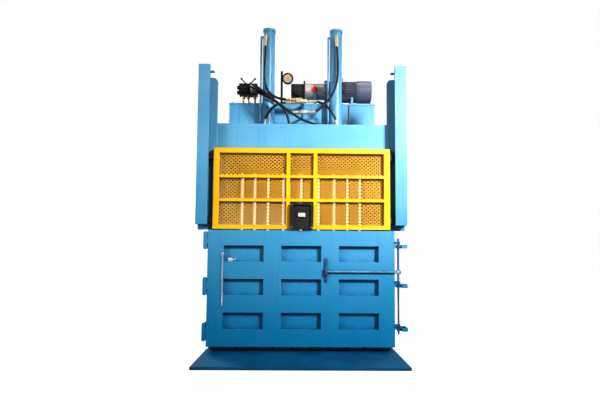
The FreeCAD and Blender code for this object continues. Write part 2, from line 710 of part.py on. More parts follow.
def buildRams():
    barrels, caps, glands, lines, elbows = [], [], [], [], []
    for side in (-1, 1):
        tag = str(side + 1)
        at = (signed(side, "ramHalf"), "-ramAhead")
        outer = rod("barrelOuter" + tag, "barrelRadius", (*at, "headTop+glandLip"),
                    "barrelTop-headTop-glandLip")
        bore = rod("barrelBore" + tag, "boreRadius", (*at, "headTop"), "barrelTop-headTop+1")
        barrels.append(cut("barrel" + tag, outer, bore))
        caps.append(rod("capDisc" + tag, "capRadius", (*at, "barrelTop"), "capThick"))
        flange = rod("glandFlange" + tag, "flangeRadius", (*at, "headTop"), "glandLip")
        nose = rod("glandNose" + tag, "boreRadius-0.2", (*at, "headTop"), "glandHigh")
        hole = rod("glandBore" + tag, "rodRadius+runFit", (*at, "headTop-1"), "glandHigh+2")
        glands.append(cut("gland" + tag, fuse("glandSolid" + tag, [flange, nose]), hole))
        pipeX = signed(side, "ramHalf") + "-linePipeOut"
        stubs = [rod("lineStub%s%d" % (tag, index), "linePipeRadius", (pipeX, "-ramAhead", height),
                     "linePipeOut-barrelRadius-0.1", "+X")
                 for index, height in enumerate(("headTop+70", "barrelTop-50"))]
        pipe = rod("linePipe" + tag, "linePipeRadius", (pipeX, "-ramAhead", "headTop+59"),
                   "barrelTop-headTop-98")
        lines.append(fuse("hardLine" + tag, [pipe] + stubs))
        for level, height in (("Cap", "barrelTop-portUpperDrop"), ("Rod", "headTop+portLowRise")):
            angled = side < 0
            lean = math.radians(PORT_TURN if angled else 0)
            endX, endY = portEnd(side, lean)
            turn = FreeCAD.Rotation(FreeCAD.Vector(0, 0, 1), -math.degrees(lean)).multiply(TURNS["+Y"])
            stub = rod("port%s%s" % (level, tag), "15", (endX, endY, height), "elbowReach-0.1", turn=turn)
            nutStart = (endX + "+%.4f*18" % math.sin(lean), endY + "+%.4f*18" % math.cos(lean), height)
            nut = rod("portNut%s%s" % (level, tag), "20", nutStart, "15", turn=turn)
            # the tail ends at the hose: below the port on a cap end, above it on a rod end
            tailLow, collarLow = ("-tailLong", "-tailLong") if level == "Cap" else ("-20", "+tailLong-20")
            tail = rod("portTail%s%s" % (level, tag), "16.5", (endX, endY, height + tailLow), "tailLong+20")
            collar = rod("portCollar%s%s" % (level, tag), "18.5", (endX, endY, height + collarLow), "20")
            elbows.append(fuse("elbow%s%s" % (level, tag), [stub, nut, tail, collar]))
    node("cylinder_barrels", group("cylinderBarrels", barrels))
    node("cylinder_caps", group("cylinderCaps", caps))
    node("rod_glands", group("rodGlands", glands))
    node("hard_lines", group("hardLines", lines))
    node("port_elbows", group("portElbows", elbows))


def buildTank():
    outer = block("tankOuter", ("-tankHalf", "tankHalf"), ("tankFront", "tankBack"), ("headTop", "tankTop"))
    inner = block("tankInner", ("-tankHalf+tankWall", "tankHalf-tankWall"),
                  ("tankFront+tankWall", "tankBack-tankWall"),
                  ("headTop+tankWall", "tankTop+1"))
    node("oil_tank", cut("oilTank", outer, inner))
    lid = [block("lidPlate", ("-tankHalf-lidLap", "tankHalf+lidLap"),
                 ("-lidLap+tankFront", "tankBack+lidLap"), ("tankTop", "lidTop"))]
    # saddles that carry the motor and the pump
    saddles = (("Motor", "motorStart+60", "motorRadius"),
               ("MotorRear", "motorStart+motorLong-90", "motorRadius"),
               ("Pump", "motorStart-bellFlange-bellLong/2-15", "bellRadius"))
    for tag, x, radius in saddles:
        saddle = block("saddle" + tag, (x, x + "+30"), ("packAxisY-90", "packAxisY+90"),
                       ("lidTop", "packAxisZ-40"))
        hollow = rod("saddleCut" + tag, radius + "+seatGap", (x + "-1", "packAxisY", "packAxisZ"), "32",
                     "+X")
        lid.append(cut("saddleShape" + tag, saddle, hollow))
    node("tank_lid", fuse("tankLid", lid))
    node("tank_breather", fuse("tankBreather", [
        rod("breatherNeck", "22", ("-ramHalf", "tankBack-110", "lidTop"), "30"),
        rod("breatherCap", "38", ("-ramHalf", "tankBack-110", "lidTop+30"), "40"),
    ]))


def buildPack():
    axis = ("packAxisY", "packAxisZ")
    shell = rod("motorOuter", "motorRadius", ("motorStart", *axis), "motorLong", "+X")
    room = rod("motorRoom", "motorRadius-motorWall", ("motorStart+16", *axis), "motorLong-32", "+X")
    shaftHole = rod("motorShaftHole", "motorShaftRadius+runFit", ("motorStart-1", *axis), "motorLong+2",
                    "+X")
    flange = rod("motorFlange", "motorRadius+12", ("motorStart-bellFlange", *axis), "bellFlange", "+X")
    flangeBore = rod("motorFlangeBore", "motorShaftRadius+12", ("motorStart-bellFlange-1", *axis),
                     "bellFlange+2", "+X")
    body = cut("motorHollow", shell, fuse("motorInside", [room, shaftHole]))
    node("motor_housing", fuse("motorHousing", [body, cut("motorFlangeRing", flange, flangeBore)]))

    cup = rod("fanCup", "fanCoverRadius", ("motorEnd", *axis), "fanCoverLong", "+X")
    cupRoom = rod("fanCupRoom", "fanCoverRadius-fanCoverSheet", ("motorEnd-1", *axis),
                  "fanCoverLong-fanCoverSheet", "+X")
    vents = [rod("fanVent%d" % index, "7",
                 ("motorEnd+fanCoverLong-10", "packAxisY+%.3f" % (64 * math.cos(index * math.pi / 6)),
                  "packAxisZ+%.3f" % (64 * math.sin(index * math.pi / 6))), "12", "+X")
             for index in range(12)]
    # a skirt closes the cover onto the motor's frame
    ring = cut("fanRing", rod("fanRingOuter", "fanCoverRadius", ("motorEnd-6", *axis), "6", "+X"),
               rod("fanRingBore", "motorRadius+seatGap", ("motorEnd-7", *axis), "8", "+X"))
    node("fan_cover", fuse("fanCoverShape",
                           [cut("fanCover", cup, fuse("fanInside", [cupRoom] + vents)), ring]))
    terminal = block("terminalSolid", ("motorStart+100", "motorStart+200"),
                     ("packAxisY-motorRadius-58", "packAxisY-motorRadius+20"),
                     ("packAxisZ-44", "packAxisZ+46"))
    seat = rod("terminalSeat", "motorRadius+seatGap", ("motorStart+99", *axis), "102", "+X")
    node("terminal_box", cut("terminalBox", terminal, seat))

    bell = cut("bellTube", rod("bellOuter", "bellRadius", ("bellStart", *axis), "bellLong", "+X"),
               rod("bellInner", "bellRadius-bellWall", ("bellStart+12", *axis), "bellLong", "+X"))
    bellHole = rod("bellShaftHole", "30", ("bellStart-1", *axis), "20", "+X")
    window = rod("bellWindow", "24", ("bellStart+bellLong*0.47", "packAxisY-bellRadius-1", "packAxisZ"),
                 "bellWall+6", "+Y")
    node("bell_housing", cut("bellHousing", bell, fuse("bellCuts", [bellHole, window])))
    node("inspection_plug", fuse("inspectionPlug", [
        rod("plugStem", "23.8", ("bellStart+bellLong*0.47", "packAxisY-bellRadius-4", "packAxisZ"), "12",
            "+Y"),
        rod("plugHead", "30", ("bellStart+bellLong*0.47", "packAxisY-bellRadius-9", "packAxisZ"), "7",
            "+Y"),
    ]))

    pump = [
        block("pumpBlock", ("bellStart-pumpLong", "bellStart-pumpPlate"),
              ("packAxisY-pumpHalf", "packAxisY+pumpHalf"),
              ("packAxisZ-pumpHalf", "packAxisZ+pumpHalf")),
        block("pumpPlate", ("bellStart-pumpPlate", "bellStart"), ("packAxisY-90", "packAxisY+90"),
              ("packAxisZ-90", "packAxisZ+100")),
        rod("pumpPort", "54", ("bellStart-90", "packAxisY-pumpHalf-22", "packAxisZ-10"), "24", "+Y"),
        rod("pumpSuction", "24", ("bellStart-90", "packAxisY", "lidTop"), "packAxisZ-lidTop-pumpHalf+1"),
    ]
    socket = rod("pumpSocket", "motorShaftRadius+runFit", ("bellStart-60", *axis), "62", "+X")
    node("pump_body", cut("pumpBody", fuse("pumpSolid", pump), socket))

    node("drive_rotor", fuse("driveRotor", [
        rod("rotorShaft", "motorShaftRadius", ("bellStart-50", *axis),
            "bellLong+bellFlange+motorLong+50+90", "+X"),
        rod("rotorCore", "rotorRadius", ("motorStart+50", *axis), "motorLong-100", "+X"),
    ]))
    hubStart = "motorEnd+38"
    blades = []
    for index in range(8):
        blade = block("blade%d" % index, (hubStart, hubStart + "+34"), ("packAxisY", "packAxisY+2"),
                      ("packAxisZ", "packAxisZ+fanCoverRadius-26"))
        blade.Placement.Rotation = FreeCAD.Rotation(FreeCAD.Vector(1, 0, 0), index * 45)
        blades.append(blade)
    hub = rod("fanHub", "38", (hubStart, *axis), "34", "+X")
    hubBore = rod("fanHubBore", "motorShaftRadius+pressFit", (hubStart + "-1", *axis), "36", "+X")
    node("cooling_fan", cut("coolingFan", fuse("fanSolid", [hub] + blades), hubBore))
    ring = rod("couplingRing", "58", ("bellStart+60", *axis), "110", "+X")
    ringBore = rod("couplingBore", "motorShaftRadius+pressFit", ("bellStart+59", *axis), "112", "+X")
    node("shaft_coupling", cut("shaftCoupling", ring, ringBore))

    node("pressure_gauge", fuse("pressureGauge", [
        block("gaugePost", ("gaugeX-gaugeRadius-22", "gaugeX-gaugeRadius+2"),
              ("packAxisY-45", "packAxisY-25"),
              ("lidTop", "packAxisZ+gaugeRise+96")),
        rod("gaugeCase", "gaugeRadius", ("gaugeX", "packAxisY-75", "packAxisZ+gaugeRise"), "50", "+Y"),
        rod("gaugeRim", "gaugeRadius+6", ("gaugeX", "packAxisY-79", "packAxisZ+gaugeRise"), "12", "+Y"),
    ]))


HORN_LEAN = 42


def buildValve():
    middleY = "valveMiddle"
    solid = [block("valveBlock", ("-valveLeft", "-valveRight"), ("valveFront", "valveBack"),
                   ("valveLow", "valveTop"))]
    for index, height in enumerate(("valveLow+34", "valveTop-30")):
        solid.append(rod("solenoid%d" % index, "22", ("-valveLeft", middleY, height), "26", "-X"))
        solid.append(rod("solenoidRight%d" % index, "18", ("-valveRight", middleY, height), "14", "+X"))
    horns = []
    for side, x in ((-1, "-valveLeft+72"), (1, "-valveRight-84")):
        tag = str(side + 1)
        pivotZ = "valveTop+hornRise"
        for ear in (-1, 1):
            low, high = ("-16", "-10.3") if ear < 0 else ("+10.3", "+16")
            solid.append(block("ear%s%d" % (tag, ear + 1), (x + "-9", x + "+9"),
                               (middleY + low, middleY + high), ("valveTop", "valveTop+24")))
        solid.append(rod("hornPin" + tag, "leverPinRadius", (x, middleY + "-18", pivotZ), "36", "+Y"))
        turn = FreeCAD.Rotation(FreeCAD.Vector(0, 1, 0), HORN_LEAN * side)
        reach = (math.sin(math.radians(HORN_LEAN)) * side, math.cos(math.radians(HORN_LEAN)))
        # the bar starts inside the hub's rim, clear of the bore
        bar = rod("hornBar" + tag, "hornRadius", ("%s+%.4f*7.5" % (x, reach[0]), middleY,
                  "%s+%.4f*7.5" % (pivotZ, reach[1])), "hornLong-7.5", turn=turn)
        knob = rod("hornKnob" + tag, "hornRadius+3", ("%s+%.4f*(hornLong-16)" % (x, reach[0]), middleY,
                   "%s+%.4f*(hornLong-16)" % (pivotZ, reach[1])), "22", turn=turn)
        hub = rod("hornHub" + tag, "10", (x, middleY + "-10", pivotZ), "20", "+Y")
        bore = rod("hornBore" + tag, "leverPinRadius+runFit", (x, middleY + "-11", pivotZ), "22", "+Y")
        horns.append(cut("valveHorn" + tag, fuse("hornSolid" + tag, [bar, knob, hub]), bore))
    node("valve_block", fuse("valveBody", solid))
    node("left_valve_lever", horns[0])
    node("right_valve_lever", horns[1])
    risers = []
    for index, x in enumerate(("-valveLeft+45", "-(valveLeft+valveRight)/2", "-valveRight-28")):
        risers.append(fuse("riser%d" % index, [
            rod("riserPipe%d" % index, "14", (x, middleY, "lidTop"), "valveLow-lidTop"),
            rod("riserNut%d" % index, "21", (x, middleY, "valveLow-34"), "22"),
            rod("riserFoot%d" % index, "21", (x, middleY, "lidTop"), "20"),
        ]))
    # four hose tails on the block's front
    for index, (x, z) in enumerate(VALVE_PORTS):
        risers.append(rod("hoseTail%d" % index, "16", (x, "valveFront-8", z), "8", "+Y"))
    node("valve_fittings", group("valveFittings", risers))


# two columns and two rows of hose ports on the valve's front
VALVE_PORTS = [("-valveRight-" + across, "valveLow+" + rise)
               for across in ("portInset", "(portInset+portPitch)") for rise in ("portHigh", "portLow")]


def buildManifolds():
    upperZ = "headTop+upperManifoldRise"
    lowerZ = "headTop+lowerManifoldRise"
    upper = [
        block("upperBlock", ("-126", "108"), ("-186", "-120"), (upperZ, upperZ + "+60")),
        block("upperArm", ("-20", "20"), ("-120", "tankFront"), (upperZ + "+4", upperZ + "+34")),
    ]
    lower = [
        block("lowerBlock", ("-62", "92"), ("-226", "-184"), (lowerZ, lowerZ + "+42")),
        block("lowerArm", ("-14", "14"), ("-184", "tankFront"), (lowerZ + "+9", lowerZ + "+31")),
    ]
    node("hose_manifolds", group("hoseManifolds",
                                 [fuse("upperManifold", upper), fuse("lowerManifold", lower)]))
    deck = [
        fuse("standpipe", [
            rod("standTube", "7", ("470", "-488", "headTop"), "222"),
            block("standFoot", ("448", "490"), ("-506", "-470"), ("headTop", "headTop+32")),
        ]),
        rod("returnSocket", "19", ("-131", "-250", "headTop"), "40"),
    ]
    node("deck_fittings", group("deckFittings", deck))


# Each hose's route, from its first fitting to its last; the points are chosen by hand.
HOSES = {
    "left_cap_hose": [
        (-403.5, -147, 3244), (-406, -155, 3090), (-414, -162, 2930), (-412, -164, 2800),
        (-385, -162, 2705), (-325, -155, 2645), (-255, -146, 2612), (-190, -138, 2600),
        (-126, -137, 2598)],
    "right_cap_hose": [
        (372, -152, 3244), (381, -158, 3090), (386, -163, 2930), (376, -168, 2790), (334, -176, 2665),
        (262, -188, 2560), (185, -200, 2480), (135, -205, 2452), (92, -205, 2446)],
    "upper_supply_hose": [
        (-525, 92, 2805), (-525, 20, 2800), (-518, -60, 2780), (-480, -140, 2730), (-410, -184, 2668),
        (-325, -192, 2622), (-240, -184, 2600), (-180, -172, 2598), (-126, -168, 2597)],
    "lower_supply_hose": [
        (-525, 92, 2762), (-526, 15, 2756), (-520, -75, 2736), (-480, -160, 2690), (-400, -212, 2630),
        (-310, -226, 2570), (-220, -222, 2508), (-150, -212, 2462), (-100, -206, 2446),
        (-62, -205, 2446)],
    "left_rod_hose": [
        (-126, -152, 2568), (-180, -154, 2567), (-240, -160, 2554), (-295, -166, 2524),
        (-342, -170, 2476), (-378, -166, 2420), (-398, -156, 2370), (-403.5, -147, 2328)],
    "right_rod_hose": [
        (108, -152, 2582), (165, -154, 2580), (226, -162, 2558), (280, -170, 2512), (324, -174, 2452),
        (355, -168, 2400), (368, -158, 2362), (372, -152, 2328)],
    "drain_hose": [
        (-565, 92, 2805), (-566, 10, 2800), (-560, -80, 2780), (-524, -170, 2735), (-450, -250, 2672),
        (-360, -296, 2598), (-270, -318, 2524), (-180, -342, 2450), (-90, -380, 2372), (5, -430, 2300),
        (110, -480, 2246), (220, -498, 2226), (335, -494, 2225), (448, -488, 2228)],
    "return_hose": [
        (-565, 92, 2762), (-567, 10, 2756), (-562, -80, 2738), (-530, -160, 2700), (-460, -226, 2645),
        (-370, -254, 2592), (-285, -262, 2545), (-215, -260, 2492), (-165, -252, 2420),
        (-138, -250, 2330), (-131, -250, 2252)],
}


def hosePath(name, points):
    """Straight runs joined by tangent arcs, each as large as its two runs allow."""
    spots = [FreeCAD.Vector(*point) for point in points]
    edges, radii, here = [], [], spots[0]
    for before, corner, after in zip(spots, spots[1:], spots[2:]):
        inward = (corner - before).normalize()
        outward = (after - corner).normalize()
        turn = inward.getAngle(outward)
        back = 0.45 * min((corner - before).Length, (after - corner).Length)
        radii.append(back / math.tan(turn / 2))
        start = corner - inward * back
        finish = corner + outward * back
        bisector = (outward - inward).normalize()
        centre = corner + bisector * math.hypot(back, radii[-1])
        middle = centre - bisector * radii[-1]
        edges.append(Part.LineSegment(here, start).toShape())
        edges.append(Part.Arc(start, middle, finish).toShape())
        here = finish
    edges.append(Part.LineSegment(here, spots[-1]).toShape())
    path = Part.Wire(edges)
    print("%s: length %.0f, smallest arc radius %.0f, largest %.0f"
          % (name, path.Length, min(radii), max(radii)))
    return path


def buildHoses():
    radius = size("hoseDiameter") / 2
    for name, points in HOSES.items():
        path = hosePath(name, points)
        first = FreeCAD.Vector(*points[0])
        heading = FreeCAD.Vector(*points[1]) - first
        ring = Part.Wire([Part.makeCircle(radius, first, heading)])
        shape = path.makePipeShell([ring], True, False)
        expected = math.pi * radius ** 2 * path.Length
        print("   volume over section times length %.4f" % (shape.Volume / expected))
        tube = doc.addObject("Part::Feature", name.replace("_", "") + "Tube")
        tube.Shape = shape
        node(name, tube)


fillSheet()
buildBase()
buildSideWall(-1, "left_side_wall")
buildSideWall(1, "right_side_wall")
buildRearWall()
buildHead()
buildGuidePost(-1, "left_guide_post")
buildGuidePost(1, "right_guide_post")
buildDoor()
buildHinges()
buildLock()
buildChain()
buildGate()
buildPlaten()
buildRams()
buildTank()
buildPack()
buildValve()
buildManifolds()
buildHoses()
doc.recompute()

for thing in doc.Objects:
    if "Invalid" in thing.State or "Error" in thing.State:
        raise SystemExit("not built: %s %s" % (thing.Name, thing.State))
for thing in NODES:
    if thing.Shape.isNull() or not thing.Shape.isValid():
        raise SystemExit("bad shape: " + thing.Label)

os.makedirs("parts", exist_ok=True)
for thing in NODES:
    thing.Shape.exportStep("parts/%s.step" % thing.Label)
print("%d nodes written" % len(NODES))
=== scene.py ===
import math

import bmesh
import bpy
import numpy as np
from mathutils import Matrix, Vector


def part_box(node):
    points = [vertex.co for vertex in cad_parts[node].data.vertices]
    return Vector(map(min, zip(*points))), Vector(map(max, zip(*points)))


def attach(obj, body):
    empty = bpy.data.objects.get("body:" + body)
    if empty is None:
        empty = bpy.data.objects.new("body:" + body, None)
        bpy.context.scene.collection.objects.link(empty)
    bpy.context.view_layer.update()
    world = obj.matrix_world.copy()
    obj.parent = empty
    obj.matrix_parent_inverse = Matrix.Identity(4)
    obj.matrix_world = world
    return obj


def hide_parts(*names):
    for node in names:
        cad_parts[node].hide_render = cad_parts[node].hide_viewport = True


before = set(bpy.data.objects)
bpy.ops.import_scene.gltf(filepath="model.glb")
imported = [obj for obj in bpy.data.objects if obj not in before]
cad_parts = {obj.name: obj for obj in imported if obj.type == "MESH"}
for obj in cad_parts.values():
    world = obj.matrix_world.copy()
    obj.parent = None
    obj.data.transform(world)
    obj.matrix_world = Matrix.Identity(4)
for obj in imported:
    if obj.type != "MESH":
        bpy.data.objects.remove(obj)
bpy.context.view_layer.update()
print("frame loaded,", len(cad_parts), "nodes")


# camera, at the height of the gate's foot and tipped a little upwards

cameraView = {"place": (-0.029, -5.347, 0.954), "tip": 4.17, "turn": -0.83, "roll": 0.41, "lens": 29.4,
              "shift": (-0.0094, 0.0275), "clip": (0.1, 80), "gamma": 0.74}

camera = bpy.data.objects.new("camera", bpy.data.cameras.new("camera"))
bpy.context.collection.objects.link(camera)
camera.location = cameraView["place"]
camera.rotation_euler = (Matrix.Rotation(math.radians(cameraView["turn"]), 3, "Z")
                         @ Matrix.Rotation(math.radians(90 + cameraView["tip"]), 3, "X")
                         @ Matrix.Rotation(math.radians(cameraView["roll"]), 3, "Z")).to_euler()
camera.data.lens = cameraView["lens"]
camera.data.shift_x, camera.data.shift_y = cameraView["shift"]
camera.data.clip_start, camera.data.clip_end = cameraView["clip"]
bpy.context.scene.camera = camera
view = bpy.context.scene.view_settings
view.view_transform = "Standard"
view.gamma = cameraView["gamma"]
print("camera placed")


# node helpers for the materials

def screenColour(red, green, blue):
    # a colour as a screen shows it, 0 to 255, turned into the shader's linear values
    parts = [value / 255 for value in (red, green, blue)]
    return tuple(((part + 0.055) / 1.055) ** 2.4 if part > 0.04 else part / 12.92 for part in parts) + (1.0,)


def addNode(tree, kind, settings=None, inputs=None):
    # a new shader node: a socket given as an input is linked, any other value is set
    node = tree.nodes.new("ShaderNode" + kind)
    for key, value in (settings or {}).items():
        setattr(node, key, value)
    for key, value in (inputs or {}).items():
        if isinstance(value, bpy.types.NodeSocket):
            tree.links.new(value, node.inputs[key])
        else:
            node.inputs[key].default_value = value
    return node


def noiseValue(tree, place, scale, detail=3.0, stretch=(1, 1, 1)):
    # cloudy noise, 0 to 1, of the place times the stretch
    if stretch != (1, 1, 1):
        place = addNode(tree, "Mapping", None, {"Vector": place, "Scale": stretch}).outputs["Vector"]
    return addNode(tree, "TexNoise", None, {"Vector": place, "Scale": scale, "Detail": detail}).outputs["Fac"]


def remap(tree, value, fromLow, fromHigh, toLow=0.0, toHigh=1.0):
    # the value's share of its way from fromLow to fromHigh, held to 0 to 1, laid on toLow to toHigh
    return addNode(tree, "MapRange", {"clamp": True}, {
        "Value": value, "From Min": fromLow, "From Max": fromHigh,
        "To Min": toLow, "To Max": toHigh}).outputs["Result"]


def multiply(tree, first, second):
    # first * second
    return addNode(tree, "Math", {"operation": "MULTIPLY"}, {0: first, 1: second}).outputs["Value"]


def blendColour(tree, factor, first, second):
    # first * (1 - factor) + second * factor
    return addNode(tree, "Mix", {"data_type": "RGBA"}, {0: factor, 6: first, 7: second}).outputs[2]


def startMaterial(name):
    # an empty node material, its tree, its shader and the place on the piece in metres
    material = bpy.data.materials.new(name)
    material.use_nodes = True
    tree = material.node_tree
    place = addNode(tree, "TexCoord").outputs["Object"]
    return material, tree, tree.nodes["Principled BSDF"], place


edgeFinding = {"samples": 4, "flat": 0.995, "sharp": 0.80}


def roundedEdge(tree, radius):
    # the normal of an edge rounded to this radius, and how far it leans from the flat face
    samples = edgeFinding["samples"]
    rounded = addNode(tree, "Bevel", {"samples": samples}, {"Radius": radius}).outputs["Normal"]
    flat = addNode(tree, "NewGeometry").outputs["Normal"]
    lean = addNode(tree, "VectorMath", {"operation": "DOT_PRODUCT"}, {0: rounded, 1: flat}).outputs["Value"]
    return rounded, remap(tree, lean, edgeFinding["flat"], edgeFinding["sharp"])


# sprayed paint: soft random shifts of shade, painted light that darkens the paint towards the bottom, faint
# runs down the sheet, painted shade mixed with grime in corners, chipped edges. Noises are (scale, detail),
# ranges are those that remap takes

paintTexture = {
    "cloudDetail": 5, "cloudRange": (0.34, 0.66), "runNoise": (1.0, 4), "runStretch": (34, 34, 1.5),
    "runRange": (0.54, 0.74), "cornerSamples": 4, "cornerRange": (0.85, 0.25), "cornerShadeAndGrimeNoise": (14, 4),
    "cornerShadeAndGrimeRange": (0.3, 0.6, 0.45, 1.0), "chipNoise": (38, 5), "chipRange": (0.52, 0.60), "peelDetail": 2,
    "peelHigh": 0.002, "sheenNoise": (5.5, 4), "sheenRange": (0.3, 0.7), "smoother": -0.06, "rougher": 0.10,
}


def paintMaterial(name, look):
    # colour = shade clouds, then painted light from deep low down to full high up, then runs, painted corner
    # shade mixed with grime, and chips blended over
    material, tree, shader, place = startMaterial(name)
    texture = paintTexture
    clouds = remap(tree, noiseValue(tree, place, look["cloudScale"], texture["cloudDetail"]),
                   *texture["cloudRange"])
    colour = blendColour(tree, clouds, look["colour"], look["shade"])
    # painted light: the colour goes from the deep colour low down to the full colour high up, painted shade
    # towards the bottom
    if look["deep"]:
        height = addNode(tree, "SeparateXYZ", None, {0: place}).outputs["Z"]
        colour = blendColour(tree, remap(tree, height, *look["paintedLightHeights"]), look["deep"], colour)
    runs = remap(tree, noiseValue(tree, place, *texture["runNoise"], texture["runStretch"]),
                 *texture["runRange"], 0, look["runs"])
    colour = blendColour(tree, runs, colour, look["runColour"])
    # painted shade: ambient occlusion darkens corners and hollows towards the shade and grime colour, in
    # patches set by noise
    corner = addNode(tree, "AmbientOcclusion", {"samples": texture["cornerSamples"]},
                     {"Distance": look["cornerShadeAndGrimeReach"]}).outputs["AO"]
    cornerShadeAndGrime = multiply(tree, remap(tree, corner, *texture["cornerRange"], 0, look["cornerShadeAndGrime"]),
                     remap(tree, noiseValue(tree, place, *texture["cornerShadeAndGrimeNoise"]), *texture["cornerShadeAndGrimeRange"]))
    colour = blendColour(tree, cornerShadeAndGrime, colour, look["cornerShadeAndGrimeColour"])
    rounded, edge = roundedEdge(tree, look["edge"])
    chips = multiply(tree, edge, remap(tree, noiseValue(tree, place, *texture["chipNoise"]),
                                       *texture["chipRange"], 0, look["wear"]))
    colour = blendColour(tree, chips, colour, look["bare"])
    peel = noiseValue(tree, place, look["peelScale"], texture["peelDetail"])
    bump = addNode(tree, "Bump", None, {"Height": peel, "Strength": look["peel"],
                                        "Distance": texture["peelHigh"], "Normal": rounded})
    sheen = remap(tree, noiseValue(tree, place, *texture["sheenNoise"]), *texture["sheenRange"],
                  look["rough"] + texture["smoother"], look["rough"] + texture["rougher"])
    tree.links.new(colour, shader.inputs["Base Color"])
    tree.links.new(sheen, shader.inputs["Roughness"])
    tree.links.new(bump.outputs["Normal"], shader.inputs["Normal"])
    shader.inputs["Specular IOR Level"].default_value = look["gloss"]
    return material


# what the paints share; each adds its own colour and shade, and only the high blue one gets painted light,
# darker towards the bottom
sprayed = {
    "cloudScale": 1.7, "deep": None, "paintedLightHeights": (0.25, 1.95),
    "runs": 0.16, "runColour": screenColour(28, 106, 158), "cornerShadeAndGrimeReach": 0.07, "cornerShadeAndGrime": 0.55,
    "cornerShadeAndGrimeColour": screenColour(18, 62, 92), "edge": 0.004, "wear": 0.55, "bare": screenColour(172, 208, 226),
    "peelScale": 190, "peel": 0.10, "rough": 0.36, "gloss": 0.5,
}
paints = {
    # painted light: the high blue enamel runs from its deep colour low down to its pale colour high up
    "blue": paintMaterial("blueEnamel", dict(
        sprayed, colour=screenColour(120, 178, 209), shade=screenColour(106, 170, 204),
        deep=screenColour(0, 138, 180))),
    # painted shade: the base plate's blue is a darker copy of the blue enamel
    "shadedBaseBlue": paintMaterial("shadedBlueFloorEnamel", dict(
        sprayed, colour=screenColour(5, 118, 162), shade=screenColour(3, 98, 140), cloudScale=2.6,
        runs=0.0, rough=0.46, wear=0.8, gloss=0.4)),
    "yellow": paintMaterial("yellowEnamel", dict(
        sprayed, colour=screenColour(243, 195, 34), shade=screenColour(238, 184, 26), runs=0.10,
        runColour=screenColour(206, 150, 20), cornerShadeAndGrimeColour=screenColour(150, 98, 16), cornerShadeAndGrime=0.5,
        cornerShadeAndGrimeReach=0.03, edge=0.003, wear=0.35, bare=screenColour(250, 226, 130))),
    "mesh": paintMaterial("yellowMeshEnamel", dict(
        sprayed, colour=screenColour(242, 188, 44), shade=screenColour(228, 168, 36), runs=0.12,
        runColour=screenColour(176, 120, 30), cornerShadeAndGrimeColour=screenColour(140, 92, 26), cornerShadeAndGrime=0.3,
        cornerShadeAndGrimeReach=0.01, edge=0.0008, wear=0.2, bare=screenColour(240, 214, 150), rough=0.5)),
    "black": paintMaterial("blackEnamel", dict(
        sprayed, colour=screenColour(34, 32, 36), shade=screenColour(26, 25, 28), runs=0.05,
        runColour=screenColour(60, 58, 60), cornerShadeAndGrimeColour=screenColour(14, 13, 14), edge=0.002, wear=0.5,
        bare=screenColour(122, 116, 112), rough=0.42)),
    "grey": paintMaterial("motorGrey", dict(
        sprayed, colour=screenColour(128, 132, 148), shade=screenColour(108, 112, 130), runs=0.08,
        runColour=screenColour(70, 76, 92), cornerShadeAndGrimeColour=screenColour(36, 38, 46), edge=0.002, wear=0.3,
        bare=screenColour(176, 180, 190), rough=0.34)),
    "pumpIron": paintMaterial("pumpIron", dict(
        sprayed, colour=screenColour(58, 52, 54), shade=screenColour(40, 37, 40), cloudScale=14, runs=0.12,
        runColour=screenColour(96, 84, 78), cornerShadeAndGrimeColour=screenColour(16, 14, 15), edge=0.0025, wear=0.6,
        bare=screenColour(150, 140, 132), peelScale=120, peel=0.35, rough=0.5)),
    "red": paintMaterial("redPlastic", dict(
        sprayed, colour=screenColour(248, 70, 36), shade=screenColour(236, 58, 28), runs=0.0,
        runColour=screenColour(180, 40, 20), cornerShadeAndGrimeColour=screenColour(90, 20, 12), edge=0.0015, wear=0.15,
        bare=screenColour(240, 120, 96), cornerShadeAndGrimeReach=0.01, peelScale=400, peel=0.04, rough=0.34)),
    "blackPlastic": paintMaterial("blackPlastic", dict(
        sprayed, colour=screenColour(44, 40, 46), shade=screenColour(36, 33, 38), runs=0.10,
        runColour=screenColour(72, 66, 72), cornerShadeAndGrimeColour=screenColour(18, 16, 18), edge=0.002, wear=0.25,
        bare=screenColour(104, 98, 102), cornerShadeAndGrimeReach=0.02, peelScale=620, peel=0.16, rough=0.46)),
    "dial": paintMaterial("creamDial", dict(
        sprayed, colour=screenColour(226, 206, 178), shade=screenColour(206, 184, 156), cloudScale=30,
        runs=0.15, runColour=screenColour(160, 134, 108), cornerShadeAndGrimeColour=screenColour(96, 74, 56), edge=0.001,
        wear=0.1, bare=screenColour(246, 240, 232), cornerShadeAndGrimeReach=0.02, peelScale=500, peel=0.03, rough=0.3)),
    "palePlastic": paintMaterial("palePlastic", dict(
        sprayed, colour=screenColour(232, 222, 212), shade=screenColour(218, 206, 196), runs=0.10,
        runColour=screenColour(180, 166, 152), cornerShadeAndGrimeColour=screenColour(96, 84, 76), edge=0.0015, wear=0.2,
        bare=screenColour(246, 240, 232), cornerShadeAndGrimeReach=0.01, peelScale=500, peel=0.08, rough=0.4)),
}
print("paints made")


# metals: a tint that drifts, brushed scratches along one way, duller in patches

metalTexture = {
    "driftDetail": 4, "driftRange": (0.35, 0.65), "brushNoise": (1.0, 3), "brushRange": (0.5, 0.75),
    "grainDetail": 3, "grainHigh": 0.002, "sheenRange": (0.3, 0.7), "smoother": -0.07, "rougher": 0.12,
}


